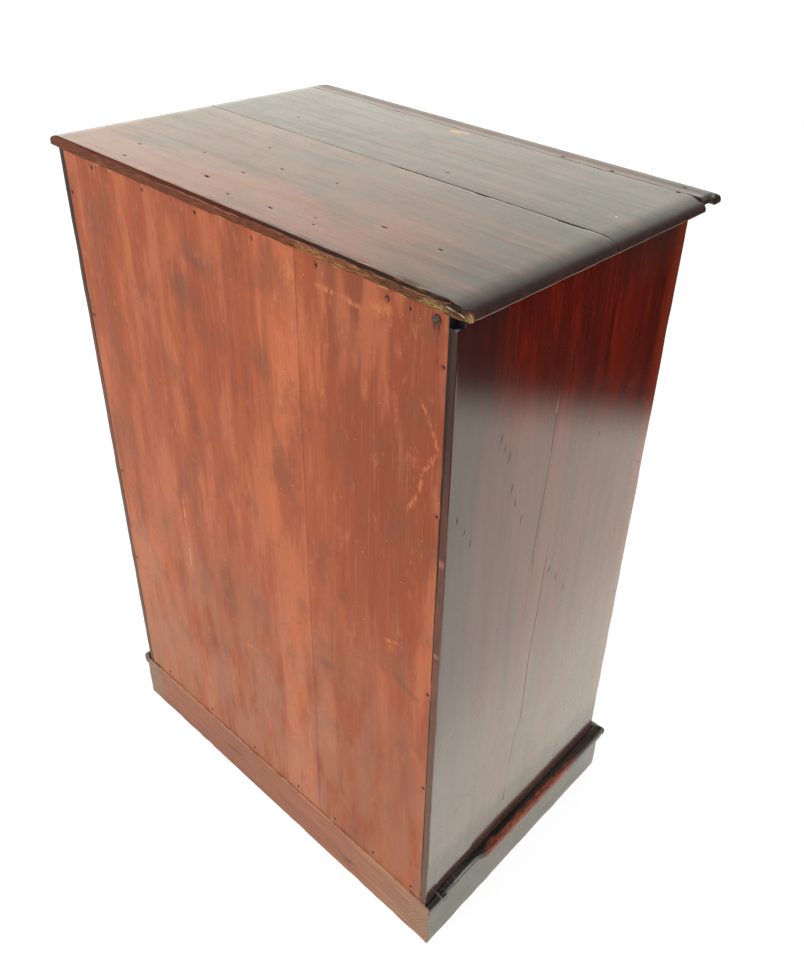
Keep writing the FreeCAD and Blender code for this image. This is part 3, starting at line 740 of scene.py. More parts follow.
def wash(name, seed):
    """Matt brick-red wash, brushed up and down on pine: streaky, dusty and scuffed."""
    s = Shade(name)
    x, _, z = s.place
    streaks, thin = figure(s, Z, seed, 26, 4.5, 0.7)
    s.colour = s.colours(streaks, (0.36, (0.37, 0.078, 0.028)), (0.5, (0.44, 0.1, 0.037)), (0.64, (0.52, 0.13, 0.05)))
    # the narrow board is lighter, the boards beside it are not alike
    s.lay((0.6, 0.162, 0.066), 0.85, (x, -0.0726, -0.0722), (x, -0.024, -0.034))
    s.lay((0.62, 0.185, 0.08), 0.35, (x, 0.06, 0.15), (z, 0.52, 0.4))
    s.lay((0.28, 0.062, 0.026), 0.68, (x, -0.07, -0.15), (z, 0.3, 0.5))
    s.lay((0.32, 0.076, 0.034), 1, (x, -0.1396, -0.1384), (z, 0.5, 0.6), (x, -0.09, -0.12))
    # brush marks and dirt, and a paler tone toward the bottom
    bands = s.noise((30, 20, 170), seed + 20)
    s.lay((0.3, 0.064, 0.026), 0.48, (bands, 0.51, 0.62))
    s.lay((0.68, 0.205, 0.092), 0.48, (bands, 0.48, 0.37))
    brush = s.noise((2.2, 10, 70), seed + 4)
    s.lay((0.7, 0.27, 0.15), 0.18, (brush, 0.54, 0.7))
    s.lay((0.25, 0.056, 0.025), 0.2, (brush, 0.44, 0.28))
    s.lay((0.24, 0.08, 0.044), 0.45, (s.noise((30, 30, 40), seed + 8, 5, 0.68), 0.48, 0.66))
    s.lay((0.74, 0.26, 0.13), 0.25, (s.noise((9, 12, 20), seed + 28, 4, 0.7), 0.57, 0.70))
    s.lay((0.19, 0.055, 0.03), 0.3, (s.noise((7, 12, 13), seed + 33, 5, 0.72), 0.55, 0.72))
    s.lay((0.52, 0.285, 0.19), 0.42, (z, 0.45, 0.1), (s.noise((18, 20, 70), seed + 13), 0.3, 0.6))
    # scuffs down to orange wood, then darker smudges
    rag = s.ragged(6, 2.2, 2)
    scuffs = s.marks(BACK_Y, SCUFF_SPOTS, SCUFF_PATHS, rag)
    s.lay((0.66, 0.215, 0.08), 0.8, scuffs, (s.noise((2.4, 6, 5), 52), 0.36, 0.56))
    s.lay((0.17, 0.075, 0.052), 0.42, s.marks(BACK_Y, SMUDGES, SMUDGE_PATH, rag))
    s.lay((0.32, 0.09, 0.045), 0.3, (x, -0.075, -0.11), (z, 0.34, 0.22))
    # a pale scratch and specks of plaster
    scratch = s.marks(BACK_Y, paths=PALE_SCRATCH) * s.ramp(s.noise((3, 3, 4), 17, 2), 0.46, 0.52)
    s.lay((0.72, 0.5, 0.38), 1, scratch | s.ramp(s.noise(2.1, 81, 1, 0.5), 0.79, 0.82) * 0.8)
    # splits, nail holes and the dark lines round the nails and where the boards meet, with painted shade of the gap at
    # the outer edges
    cracks = s.marks(BACK_Y, EMPTY_HOLES, SPLITS_OF_BACK, s.ragged(5, 0.35, 9))
    # brink: painted shade of the gap between the outer boards and the sides' lips
    brink = s.ramp(abs(x), 0.2034, 0.204) * s.ramp(s.noise((9, 9, 30), 83, 2, 0.5), 0.36, 0.5)
    ring = s.math("SUBTRACT", *[s.marks(BACK_Y, [spot]) for spot in ((-155.2, 623.3, 2.3, 2.3, 0, 0.8),
                                                                     (-154.8, 622.9, 1.5, 1.5, 0, 0.8))], clamp=True)
    seam = s.ramp(abs(x + 0.07235), 0.001, 0.0002) * 0.3
    s.lay((0.045, 0.014, 0.009), 1, s.attribute("stain") | brink | ring | seam | cracks)
    # painted shade inside the notch under the top, at the back's corner
    s.lay((0.022, 0.022, 0.022), 1, (x, -0.2031, -0.2036), (z, 0.6205, 0.6225))
    s.lay((0.62, 0.33, 0.14), 1, s.attribute("raw"))
    return s.finish(s.line(streaks, 0.3, 0.7, 0.46, 0.64), s.bump(thin, 0.08, 0.6, s.bump(brush, 0.12, 0.5)), IOR=1.3)


def rail_wash(name):
    """The wash over the back plinth board: browner, with a pale rubbed top arris."""
    s = Shade(name)
    streaks, thin = figure(s, X, 44.0, 16, 4, 0.7)
    s.colour = s.colours(streaks, (0.34, (0.27, 0.085, 0.045)), (0.5, (0.385, 0.13, 0.07)), (0.64, (0.48, 0.185, 0.1)))
    s.lay((0.2, 0.095, 0.06), 0.45, (s.noise((40, 20, 12), 48, 4, 0.62), 0.48, 0.70))
    near = s.mix(s.ramp(streaks, 0.42, 0.58), (0.33, 0.165, 0.095), (0.53, 0.27, 0.15))
    s.lay(near, 0.75, (s.place[X], -0.09, -0.185))
    bruises = s.marks(148, [(-112, 17, 13, 5, 14, 0.2), (60, 30, 22, 5, 8, 0.1)], (), s.ragged(6, 2.0, 2))
    s.lay((0.1, 0.045, 0.03), 0.6, bruises)
    s.lay((0.62, 0.33, 0.18), 1, s.attribute("worn"), (s.noise((14, 6, 6), 19), 0.38, 0.55))
    return s.finish(s.line(streaks, 0.3, 0.7, 0.45, 0.62), s.bump(thin, 0.1, 0.6), IOR=1.4)


# ---------------------------------------------------------------- all the finishes
CASE_END_TONES, PINE_END_TONES = ((0.030, 0.008, 0.005), (0.10, 0.030, 0.014)), ((0.34, 0.20, 0.09), (0.55, 0.37, 0.19))
case_left = stained("case_left_stain", Z, CASE_TONES, 1.0, tune_side, mark_side, SIDE_GLOSS, streaky=0.07)
case_right = stained("case_right_stain", Z, CASE_TONES, 14.0)
case_rail = stained("case_rail_stain", X, CASE_TONES, 23.0)
case_end = end_grain("case_end_grain", (-150, 30, 0), Z, *CASE_END_TONES, 2.0)
rail_end = end_grain("rail_end_grain", (0, 30, 560), X, *CASE_END_TONES, 2.5)
lip_paint = side_lip("side_lip_paint")
top_stain = stained("top_stain", X, TOP_TONES, 3.0, tune_top, mark_top, streaky=0.16)
rear_edge = top_rear_edge("top_rear_edge")
back_wash, rail_finish = wash("back_wash", 4.0), rail_wash("plinth_back_wash")
plinth_side_stain = stained("plinth_side_stain", Y, PLINTH_TONES, 5.0, gloss=SATIN)
plinth_front_stain = stained("plinth_front_stain", X, PLINTH_TONES, 6.0)
near_end = end_grain("plinth_near_end", (-262, 0, -20), Y, (0.31, 0.145, 0.080), (0.42, 0.205, 0.115), 4.0, 3.6,
                     dirty=0.2)
far_end = end_grain("plinth_far_end", (250, 0, 10), Y, (0.22, 0.105, 0.06), (0.40, 0.22, 0.13), 9.0, 3.6, dirty=0.25)
moulding_side_stain = stained("moulding_side_stain", Y, PLINTH_TONES, 7.0, tune_moulding, gloss=DULL, rough=(0.3, 0.5))
moulding_front_stain = stained("moulding_front_stain", X, PLINTH_TONES, 8.0)
moulding_end = end_grain("moulding_end", (-240, 0, 40), Y, (0.035, 0.028, 0.020), (0.30, 0.15, 0.075), 6.0, 2.6)
drawer_stain = stained("drawer_front_stain", X, FRONT_TONES, 31.0)
drawer_end = end_grain("drawer_end_grain", (0, 30, 200), X, (0.05, 0.012, 0.007), (0.14, 0.04, 0.02), 3.0)
knob_stain = stained("knob_stain", X, KNOB_TONES, 37.0, rough=(0.12, 0.22))
pine_x, pine_y = bare_pine("pine_along_x", X, 2.0), bare_pine("pine_along_y", Y, 12.0)
pine_end = end_grain("pine_end_grain", (0, 20, 300), X, *PINE_END_TONES, 5.0, 3.0, 0.7)
nail_iron = iron("nail_iron")


# ---------------------------------------------------------------- top
# where along the rear board it lacks a piece of its upper arris, and where a long splinter is gone
SCAR_X, HOLLOW_X = -174, -207
# half the gap that is left between the rear and the front board
HALF_JOINT = 0.14
# how much more tightly the front strip is rounded over at its near end than at the far one
TIGHTER = 4


def joint_opening(x):
    """How far the joint between the boards has opened, in mm."""
    return 1.1 * smooth(x, -4, -16) * (1 - 0.42 * smooth(x, -36, -75)) * (1 - 0.97 * smooth(x, -195, -203))


def closed_over(p, out, joint):
    """Where the joint is tight its arrises are all but level with the top."""
    beside, top = abs(p[:, Y] - joint), top_high[Z]
    there = (beside < 0.4) * (p[:, Z] > top - 0.4) * smooth(p[:, X], -14, -6)
    out[:, Z] += 0.92 * (top - out[:, Z]) * there
    out[:, Y] += 0.92 * (joint - out[:, Y]) * there * (beside < 0.1)
    return out


def nicked(out, low, high):
    """Presses in those nicks of the top that lie on this board."""
    for x, y, long, wide in TOP_NICKS:
        if low[Y] < y < high[Y]:
            out = dented(out, (x, y, high[Z]), 0.35, (long * 0.45, wide * 0.45, 2), Z)
    return out


def rear_wear(p, low, high):
    """Rubbed and nicked, drawn back where the joint has opened, and torn along the rear edge."""
    x, y, z = p.T
    out = nicked(rubbed(p, low, high, 0.35, 11), low, high)
    out[:, Y] += joint_opening(x) * 0.55 * bell((y - low[Y]) / 2.6)
    from_rear, from_top = high[Y] - y, high[Z] - z
    # the lower part of the rear edge is split away along the grain
    lower = smooth(z + 0.9 * noise(p, (26, 9, 9), 4, 2), 636.9, 635.9)
    torn = 0.9 + 1.1 * noise(p, (15, 40, 1.5), 7, 2) + 0.8 * noise(p, (4, 9, 1.0), 8)
    bite = (0.12 + 0.88 * smooth(x, 60, -40)) * np.clip(torn, 0, 2.6)
    out[:, Y] -= bite * lower * bell(from_rear / 3.2)
    # a long splinter is missing at the near corner
    hollow = bell((x - HOLLOW_X) / 7.5, (z - 637.0 - 0.16 * (x - HOLLOW_X)) / 1.6)
    out[:, Y] -= 3.4 * hollow * bell(from_rear / 4.5)
    out[:, Z] += bell((x + 220) / 4.5, from_rear / 6) * np.where(z < 634, 1.0, -0.6) * (0.8 + noise(p, 2.2, 17))
    # small bites out of the upper arris, and one large one
    bites = 1.5 * np.clip(noise(p, (9, 9, 9), 23, 2) - 0.35, 0, 1) * smooth(x, -60, -120)
    out[:, Z] -= bites * bell(from_top / 1.6, from_rear / 2.2)
    out[:, Z] -= 0.9 * bell(((x - SCAR_X) / 7.5) ** 2, from_rear / 2.4, from_top / 2.5)
    return closed_over(p, out, low[Y] - HALF_JOINT)


# where the torn rear edge shows bare wood: x, half length, strength
BARE = [(-92, 17, 1.25), (-112, 14, 0.8), (-140, 14, 0.35), (-192, 9, 1.1), (-219.5, 2.4, 1.4), (148, 4, 0.7)]


def rear_paint(p, low, high):
    """Bare wood under the torn edge and at both ends of the scar, and rubbed arrises but for the one at the joint."""
    x, y, z = p.T
    from_rear = high[Y] - y
    lower = smooth(z + 1.0 * noise(p, (12, 9, 9), 4, 2), 635.8, 634.8) * bell(np.maximum(from_rear - 0.4, 0) / 2.0)
    places = sum(much * bell((x - at) / long) for at, long, much in BARE) + 0.12 * smooth(x, -10, -60)
    raw = lower * places * (0.80 + 0.9 * noise(p, (7, 9, 2.2), 9, 2))
    scar_ends = bell((abs(x - SCAR_X) - 9) / 1.3, (from_rear - 0.6) / 0.9) * (z > high[Z] - 2)
    worn = thin_arris(p, low, high, 0.5)["worn"] * (y > low[Y] + 3)
    return {"raw": np.clip(raw, 0, 1) + 0.9 * scar_ends, "worn": worn}


def rear_split(centres, normals, low, high):
    """Faces of the rear edge."""
    return (normals[:, Y] > 0.5) & (centres[:, Y] > high[Y] - 6)


def front_wear(p, low, high):
    """Rubbed and nicked, with a chip, and drawn back where the joint has opened."""
    out = rubbed(p, low, high, 0.15, 12)
    out[:, Y] -= joint_opening(p[:, X]) * 0.45 * bell((high[Y] - p[:, Y]) / 2.6)
    out = dented(nicked(out, low, high), (14.5, -109.4, high[Z]), 0.5, (4.0, 2.6, 3), Z)
    return closed_over(p, out, high[Y] + HALF_JOINT)


def strip_wear(p, low, high):
    """The near end is split away below."""
    out = rubbed(p, low, high, 0.2, 13)
    x, y, z = out.T
    way_in, thick = x - low[X] + 1.5 * noise(p, (3, 6, 3), 15), high[Z] - low[Z]
    bottom = 4.0 * smooth(way_in, 17, 9) * smooth(y, low[Y] + 9, low[Y] + 15)
    out[:, Z] = low[Z] + bottom + (z - low[Z]) * (thick - bottom) / thick
    return out


def strip_paint(p, low, high):
    """Bare wood in one place at the near end, and the torn part below it."""
    way_in, beside = p[:, X] - low[X], p[:, Y] - low[Y]
    at_end = bell((way_in - 1.5) / 1.8, (beside - 15) / 2.4, (p[:, Z] - 635.6) / 1.0)
    return {"raw": at_end, "torn": smooth(way_in, 9, 5) * smooth(p[:, Z], 637.2, 635.6) * smooth(beside, 4, 8)}


def top_boards():
    """Two boards with a thumb edge at each end, and a strip in front with the thumb edge along it too."""
    slot = "top_mahogany_stain"
    z_planes = top_low[Z] + THUMB_UP * (top_high[Z] - top_low[Z]) / THUMB_UP[-1]
    for node, near, far, before, after, materials, looks in (
            ("top_rear_board", [1.1, 2.2, 3.6], [1.1, 2.1, 3.2, 4.8], HALF_JOINT, 0, [top_stain, rear_edge],
             dict(wear=rear_wear, paint=rear_paint, split=rear_split)),
            ("top_front_board", [1.2, 2.6], [1.1, 2.2, 3.6], 0.1, HALF_JOINT, [top_stain], dict(wear=front_wear))):
        low, high = span(node)
        nicks = np.array([nick for nick in TOP_NICKS if low[Y] < nick[1] < high[Y]])
        xs = planes(low[X], high[X], 4.5, THUMB_IN, THUMB_IN, thinned(around(nicks[:, X], (0.5, 1.5, 2.6))))
        ys = planes(low[Y], high[Y], 4.5, near, far, thinned(around(nicks[:, Y], (0.4, 1.2))))
        points, quads = skin(xs, ys, z_planes)
        points = thumbed(thumbed(points, X, low[X]), X, high[X])
        piece(node, slid(points, Y, low, high, before, after), quads, slot, materials, arris=0.22, **looks)

    low, high = span("top_front_strip")
    xs = planes(low[X], high[X], 4.0, [*THUMB_IN / TIGHTER, *THUMB_IN], THUMB_IN)
    points, quads = skin(xs, planes(low[Y], high[Y], 3.0, THUMB_IN, [1.2, 2.6]), z_planes)
    points[:, X] = low[X] + TIGHTER * (points[:, X] - low[X])
    points = thumbed(points, X, low[X])
    points[:, X] = low[X] + (points[:, X] - low[X]) / TIGHTER
    points = thumbed(thumbed(points, X, high[X]), Y, low[Y])
    piece("top_front_strip", slid(points, Y, low, high, 0, 0.12), quads, slot, [top_stain], arris=0.22,
          wear=strip_wear, paint=strip_paint)


# ---------------------------------------------------------------- sides
# the two splits in the left side, as z and y from the base up; each runs on unseen so that they never cross
SPLIT_A = ((55, 60), (130, 58), (300, 52), (371, 40.5), (407, 41.7), (464, 35.8), (530, 33.3), (630, 32))
SPLIT_B = ((55, 41), (97, 41.3), (132, 41.3), (182, 36.1), (200, 29.5), (281, 28.7), (339, 24.3), (393, 22.2),
           (450, 14), (630, 10))
# y of the lattice plane that each split is made from, its path, and the heights between which it is open
SPLITS = ((30.0, SPLIT_B, 92, 395), (48.0, SPLIT_A, 371, 532))
NOTCH = 7.5   # height of the piece missing from the near side's rear edge, just under the top


def split_open(p, out, low, high, outer):
    """Bends the lattice of the left side along its splits and cuts them in."""
    y, z = p[:, Y], p[:, Z]
    stops = [low[Y], *[rest for rest, *_ in SPLITS], high[Y] - 12]
    shifts = [np.zeros(len(p)), *[np.interp(z, *zip(*path)) - rest for rest, path, *_ in SPLITS], np.zeros(len(p))]
    for k in range(3):
        t = (y - stops[k]) / (stops[k + 1] - stops[k])
        out[:, Y] += (shifts[k] * (1 - t) + shifts[k + 1] * t) * (t >= 0) * (t < 1) * outer
    for rest, _, start, end in SPLITS:
        taper = outer * smooth(z, start, start + 14) * smooth(z, end, end - 14)
        out[:, X] += (abs(y - rest) < 0.1) * taper * (0.6 + 0.3 * noise(p, 20, 27))
        out[:, X] += 0.06 * (y > rest) * taper * bell((y - rest) / 2.5)


def case_side(node, turn, materials):
    """A side, rebated for the back and housed for the rails and the base; turn is 1 for the left one, or -1."""
    low, high = span(node)
    left = turn > 0
    inner, reach, lip, rebate = span("drawer_runners")[1][X], span("base_board")[1][X], back_high[X], back_low[Y]
    base_top, under_rail = span("base_board")[1][Z], span("top_rail_back")[0][Z]
    front_rail, back_rail = span("top_rail_front")[1][Y], span("top_rail_back")[0][Y]
    notch = high[Z] - NOTCH
    xs = np.unique(np.round([-max(abs(low[X]), abs(high[X])), -lip, -reach, -inner], 4))
    ys = planes(low[Y], high[Y], 6.5, [1.5], [1.4, 3.0], [rebate, rebate - 3, rebate + 1.5, front_rail, back_rail,
                *(around([rest for rest, *_ in SPLITS], (0, 0.28, 1.2)) if left else [])])
    zs = planes(low[Z], high[Z], 6.5, [], [1.5, 4, NOTCH - 2, NOTCH], [base_top, under_rail])

    def keep(x, y, z):
        in_rail = (y < front_rail) | (y > back_rail) & (y < rebate)
        gone = (x > -lip) & (y > rebate) | (x > -reach) & (y < rebate) & (z < base_top)
        gone |= (x > -reach) & in_rail & (z > under_rail)
        return ~(gone | left & (y > rebate + 1.5) & (z > notch) & (y + z > rebate + notch + 3))

    points, quads = skin(xs, ys, zs, keep)
    if not left:
        points, quads = points * [-1, 1, 1], quads[:, ::-1]

    def wear(p, low, high):
        out = rubbed(p, low, high, 0.35, 21 if left else 22, (9, 9, 22))
        outer = bell((p[:, X] - (low[X] if left else high[X])) / 2.0)
        out[:, X] += turn * 0.22 * outer * noise(p, (60, 40, 160), 25) ** 2
        if left:
            split_open(p, out, low, high, outer)
            torn = (p[:, Y] > rebate + 1) * smooth(p[:, Z], notch - 2, notch)
            out += 0.6 * torn[:, None] * np.stack([noise(p, 2.6, seed) for seed in (33, 34, 35)], 1)
        out[:, :Z] = np.clip(out[:, :Z], low[:Z], high[:Z])
        return out

    def split(centres, normals, low, high):
        x, y, z = centres.T
        behind = y > rebate + 0.5
        lip = behind & (normals[:, Y] > 0.5) | left & behind & (z > notch - 1.5) & (x > low[X] + 0.4)
        return np.where(lip, 2, abs(normals[:, Z]) > 0.75)

    piece(node, points, quads, "case_mahogany_stain", materials, wear=wear, paint=partial(thin_arris, strength=0.6),
          split=split)


# ---------------------------------------------------------------- back
# chips in the wash of the back: x, z, half width, half height, strength
CHIPS = [(-88.6, 56.8, 3, 1.8, 1), (155.0, 629.8, 2.2, 1.6, 1.2), (138.6, 629.2, 2.4, 1.8, 1.4),
         (197.7, 546.2, 1.8, 2.2, 0.7)]


# how far the wash bridges each joint, from both sides
BRIDGED = 0.13


def back_wear(p, low, high, seed, nails):
    """Ends worn unevenly, a face that isn't quite flat, and a hollow round each nail."""
    _, y, z = p.T
    out = p.copy()
    at_end = bell(np.minimum(z - low[Z], high[Z] - z) / 1.3, (high[Y] - y) / 1.0)
    out[:, Y] -= 0.5 * at_end * np.clip(0.35 + 0.9 * noise(p, (6, 6, 26), seed, 3), 0, 1)
    out[:, Y] -= bell((high[Y] - y) / 1.6) * (0.16 + 0.14 * noise(p, (26, 90, 300), 45, 2))
    for nx, nz in nails:
        out = dented(out, (nx, high[Y], nz), 0.5, (1.8, 2.0, 2.2), Y)
    return out


def back_paint(p, low, high, nails):
    """Rust round the nails, and wood where the wash has come off."""
    x, _, z = p.T
    stain = sum(0.45 * bell((x - nx) / 1.4, (z - nz) / 1.8) for nx, nz in nails)
    # a ring round the big nail
    far = np.hypot(x - BIG_NAIL[0], z - BIG_NAIL[1])
    rim = bell((far - 3.0) / 0.7) * (far < 6)
    edge = smooth(noise(p, (5, 5, 15), 51, 2), 0.25, 0.6) * bell(np.minimum(z - low[Z], high[Z] - z) / 0.9) * 0.9
    chips = sum(much * bell((x - cx) / wide, (z - cz) / tall) for cx, cz, wide, tall, much in CHIPS)
    return {"stain": stain + rim, "raw": edge + chips}


def back_boards():
    """Three boards with a joint that the wash has closed, pressed in round each nail."""
    for seed, node in enumerate(("back_board_left", "back_board_narrow", "back_board_wide"), 41):
        low, high = span(node)
        nails = [(x, z) for x, z in NAILS if low[X] < x < high[X]]
        near = (0.9, 2.0, 3.4)
        xs = planes(low[X], high[X], 4.5, [1.2, 2.8], [1.2, 2.8],
                    around([x for x, _ in nails if low[X] + 8 < x < high[X] - 8] or [low[X]], near))
        grown = [BRIDGED, BRIDGED]
        for side, end in enumerate((low[X], high[X])):
            # an outer edge fits the rebate as it is, and is worn more finely
            if abs(end) == back_high[X]:
                grown[side], more = 0, [[], []]
                more[side] = [1.2, 2.4, 3.6, 4.8, 6.4]
                xs = planes(low[X], high[X], 4.5, *more, xs)
        zs = planes(low[Z], high[Z], 7.0, [1.3], [1.3, 3], around(sorted({round(z, 2) for _, z in nails}), near))
        points, quads = skin(xs, [low[Y], low[Y] + 2.5, high[Y] - 2.0, high[Y]], zs)
        piece(node, slid(points, X, low, high, *grown), quads, "back_red_wash", [back_wash], arris=0.10,
              wear=partial(back_wear, seed=seed, nails=nails), paint=partial(back_paint, nails=nails))


def turned(profile, steps):
    """A solid of revolution about local Z, closed at both ends: points and faces."""
    points, faces, rings = [], [], []
    for height, radius in profile:
        count = steps if radius else 1
        rings.append([len(points) + k % count for k in range(steps + 1)])
        points += [(radius * math.cos(2 * math.pi * k / steps), radius * math.sin(2 * math.pi * k / steps), height)
                   for k in range(count)]
    for a, b in zip(rings[:-1], rings[1:]):
        for k in range(steps):
            # at a tip the ring is one point, which leaves a triangle
            faces.append(tuple(dict.fromkeys((a[k], a[k + 1], b[k + 1], b[k]))))
    return np.array(points, float), faces


def joined(parts):
    """Several point and face lists as one."""
    points, faces, start = [], [], 0
    for co, quads in parts:
        points.append(co)
        faces += [tuple(i + start for i in f) for f in quads]
        start += len(co)
    return np.concatenate(points), faces


def back_nails():
    """Nail heads, each a little different: some proud, some driven in, one big and round."""
    parts = []
    for number, (x, z) in enumerate(NAILS):
        spread, lift = [noise(np.array([[x, 0, z]]), size, seed)[0] for size, seed in ((3.3, 61), (2.7, 62))]
        big = math.hypot(x - BIG_NAIL[0], z - BIG_NAIL[1]) < 3
        radius, proud = (2.8, 0.55) if big else (1.15 + 0.25 * spread, 0.05 + 0.25 * lift)
        points, faces = turned([(-14, 0), (-13, 0.8), (proud - 0.75, 0.85), (proud - 0.6, radius * 0.95),
                                (proud - 0.35, radius), (proud - 0.12, radius * 0.86), (proud, radius * 0.4),
                                (proud + 0.02, 0)], 14)
        angle = np.arctan2(points[:, Y], points[:, X])
        points[:, :Z] *= (1 + 0.07 * np.sin(2 * angle + number) + 0.04 * np.sin(5 * angle + 2 * number))[:, None]
        points[:, Z] += 0.12 * points[:, X] / max(radius, 1)
        parts.append((np.stack([x - points[:, X], BACK_Y + points[:, Z], z + points[:, Y]], 1), faces))
    piece("back_nails", *joined(parts), "iron_nail", [nail_iron], arris=0)


# ---------------------------------------------------------------- plinth and its moulding
def plinth_wear(p, low, high, depth, seed):
    """Rubbed, but not where a side board and the back one meet."""
    rail_low, rail_high = span("plinth_back_rail")
    seam = bell((abs(p[:, X]) - rail_high[X]) / 2.5) * (p[:, Y] > rail_low[Y])
    return p + (rubbed(p, low, high, depth, seed, (8, 12, 8)) - p) * (1 - seam)[:, None]


def board_end(centres, normals, low, high):
    """Faces of a side board's ends, with the rubbed arris above the rear one."""
    return (abs(normals[:, Y]) > 0.7) | (normals[:, Z] > 0.2) & (centres[:, Y] > back_high[Y] - 0.2)


def rail_paint(p, low, high):
    """The top arris at the back is rubbed."""
    return {"worn": 1.3 * bell((high[Z] - p[:, Z]) / 0.9, (high[Y] - p[:, Y]) / 1.0)}


def plinth():
    """Side boards and a front one mitred together, and a back rail between the side boards."""
    slot = "plinth_mahogany_stain"
    rim = [1.4]
    for node, left, seed, ends in (("plinth_left", True, 71, near_end), ("plinth_right", False, 72, far_end)):
        low, high = span(node)
        points, quads = block(low, high, (5, rim, rim), (6, rim, [*rim, 3, 5]), (5, rim, rim))
        inset = points[:, X] - low[X] if left else high[X] - points[:, X]
        piece(node, slid(points, Y, low, high, -inset, 0), quads, slot, [plinth_side_stain, ends], arris=0.15,
              wear=partial(plinth_wear, depth=0.35, seed=seed), paint=partial(thin_arris, strength=0.3, reach=1.0),
              split=board_end)

    board = high[X] - low[X]
    low, high = span("plinth_front")
    points, quads = block(low, high, (7, rim, rim), (5, rim, rim), (5, rim, rim))
    inset = (points[:, Y] - low[Y]) * board / (high[Y] - low[Y])
    piece("plinth_front", slid(points, X, low, high, -inset, -inset), quads, slot, [plinth_front_stain],
          wear=partial(plinth_wear, depth=0.5, seed=73), paint=partial(thin_arris, strength=0.5, reach=1.0))
    points, quads = block(*span("plinth_back_rail"), (5, [1.3], [1.3]), (6, [], [1.5]), (5, rim, rim))
    piece("plinth_back_rail", points, quads, slot, [rail_finish], arris=0.15,
          wear=partial(plinth_wear, depth=0.35, seed=74), paint=rail_paint)


# where the near moulding is broken: place along it, then how far out, how high and how low it still reaches
BREAK = np.array([(-200, 9.5, 61, 44), (77, 9.5, 61, 44), (87, 5.4, 61, 50.4), (116, 5.4, 60.8, 50.6),
                  (118, 6.1, 60.8, 50.0), (131, 5.9, 57.5, 47.5), (132.5, 7.4, 56.8, 42.6), (150, 6.6, 55.6, 46)]).T


def broken_off(points, reach, low, high, level):
    """Breaks the near moulding at the back: a thin ragged strip, a step down, then a blocky stump."""
    out, along, up = points.T.copy()
    ragged = along + 0.7 * (out - 4) + 0.5 * (60 - up) + 1.3 * noise(points, (2.5, 6, 2.5), 83, 2)
    wide, tall, deep = [np.interp(ragged, BREAK[0], row) for row in BREAK[1:]]
    wide = np.minimum(wide + (ragged > 87) * 0.25 * noise(points, (3, 5, 3), 85, 2), reach)
    above = np.maximum(up - level, 0) * (tall - level) / (high[Z] - level)
    below = np.minimum(up - level, 0) * (level - deep) / (level - low[Z])
    points[:, 0] = np.where(out > 5.2, 5.1 + (out - 5.1) * (wide - 5.1) / (reach - 5.1), out)
    points[:, 2] = level + above + below


def mouldings():
    """Half rounds round the foot of the case, lapping the plinth, mitred at the front; the near one is broken off."""
    low_f, high_f = span("moulding_front")
    case_x, case_y = abs(side_low[X]), side_low[Y]
    level = span("plinth_left")[1][Z]
    radius, middle = (high_f[Z] - low_f[Z]) / 2, (high_f[Z] + low_f[Z]) / 2

    def outline(case, nose, plinth):
        """(out, up) pairs from the case face, over the nose and back along the plinth, whose top is at level."""
        centre = nose - radius - case
        turn = np.linspace(0, math.pi / 2, 12)[1:]
        lower = np.stack([centre + radius * np.cos(turn) ** 0.6, middle - radius * np.sin(turn) ** 0.6], 1)
        lower = lower[lower[:, 0] > plinth - case + 0.3]
        return np.concatenate([[(0, high_f[Z])], arc(centre, middle, radius, math.pi / 2, 0, 12), lower,
                               [(plinth - case, lower[-1][1]), (plinth - case, level), (0, level)]])

    for node, turn in (("moulding_left", -1), ("moulding_right", 1)):
        low, high = span(node)
        left = turn < 0
        nose = max(abs(low[X]), abs(high[X]))
        reach = nose - case_x
        # stations close together where it is broken
        stations = planes(low[Y], high[Y], 6, fixed=np.arange(74, high[Y], 1.0) if left else [])
        points, faces = bar(outline(case_x, nose, abs(span("plinth_left")[0][X])), stations)
        out = points[:, 0].copy()
        points = slid(points, Y, low, high, out - reach, 0)
        if left:
            broken_off(points, reach, low, high, level)
            faces = [f[::-1] for f in faces]
        # the corner at the mitre is rubbed round
        corner = bell((points[:, 1] - low[Y] - reach + out) / 4.0)
        points[:, 0] = turn * (case_x + points[:, 0] - 1.6 * corner * np.clip((out - 3) / (reach - 3), 0, 1))

        def wear(p, low, high, turn=turn):
            out = p.copy()
            out[:, X] -= turn * 0.16 * abs(noise(p, (3, 9, 3), 87, 2)) * smooth(abs(p[:, X]) - case_x, 1, 4)
            return out

        def paint(p, low, high, left=left):
            y = p[:, Y]
            strip = smooth(y, 89, 92) * smooth(y, 110, 106) * smooth(noise(p, (1.6, 14, 1.6), 88) + 0.3, 0.2, 0.6)
            return {"raw": (strip * 0.05 + 0.18 * bell((y - 111.5) / 0.8)) * left}

        piece(node, points, faces, "plinth_mahogany_stain", [moulding_side_stain, moulding_end], wear=wear,
              paint=paint, grain=Y, arris=0.25)

    points, faces = bar(outline(-case_y, -low_f[Y], -span("plinth_front")[0][Y]), planes(low_f[X], high_f[X], 7))
    inset = -low_f[Y] + case_y - points[:, 0]
    points = np.stack([points[:, 1], case_y - points[:, 0], points[:, 2]], 1)
    piece("moulding_front", slid(points, X, low_f, high_f, -inset, -inset), faces, "plinth_mahogany_stain",
          [moulding_front_stain], wear=partial(rubbed, depth=0.2, seed=91), arris=0.25)


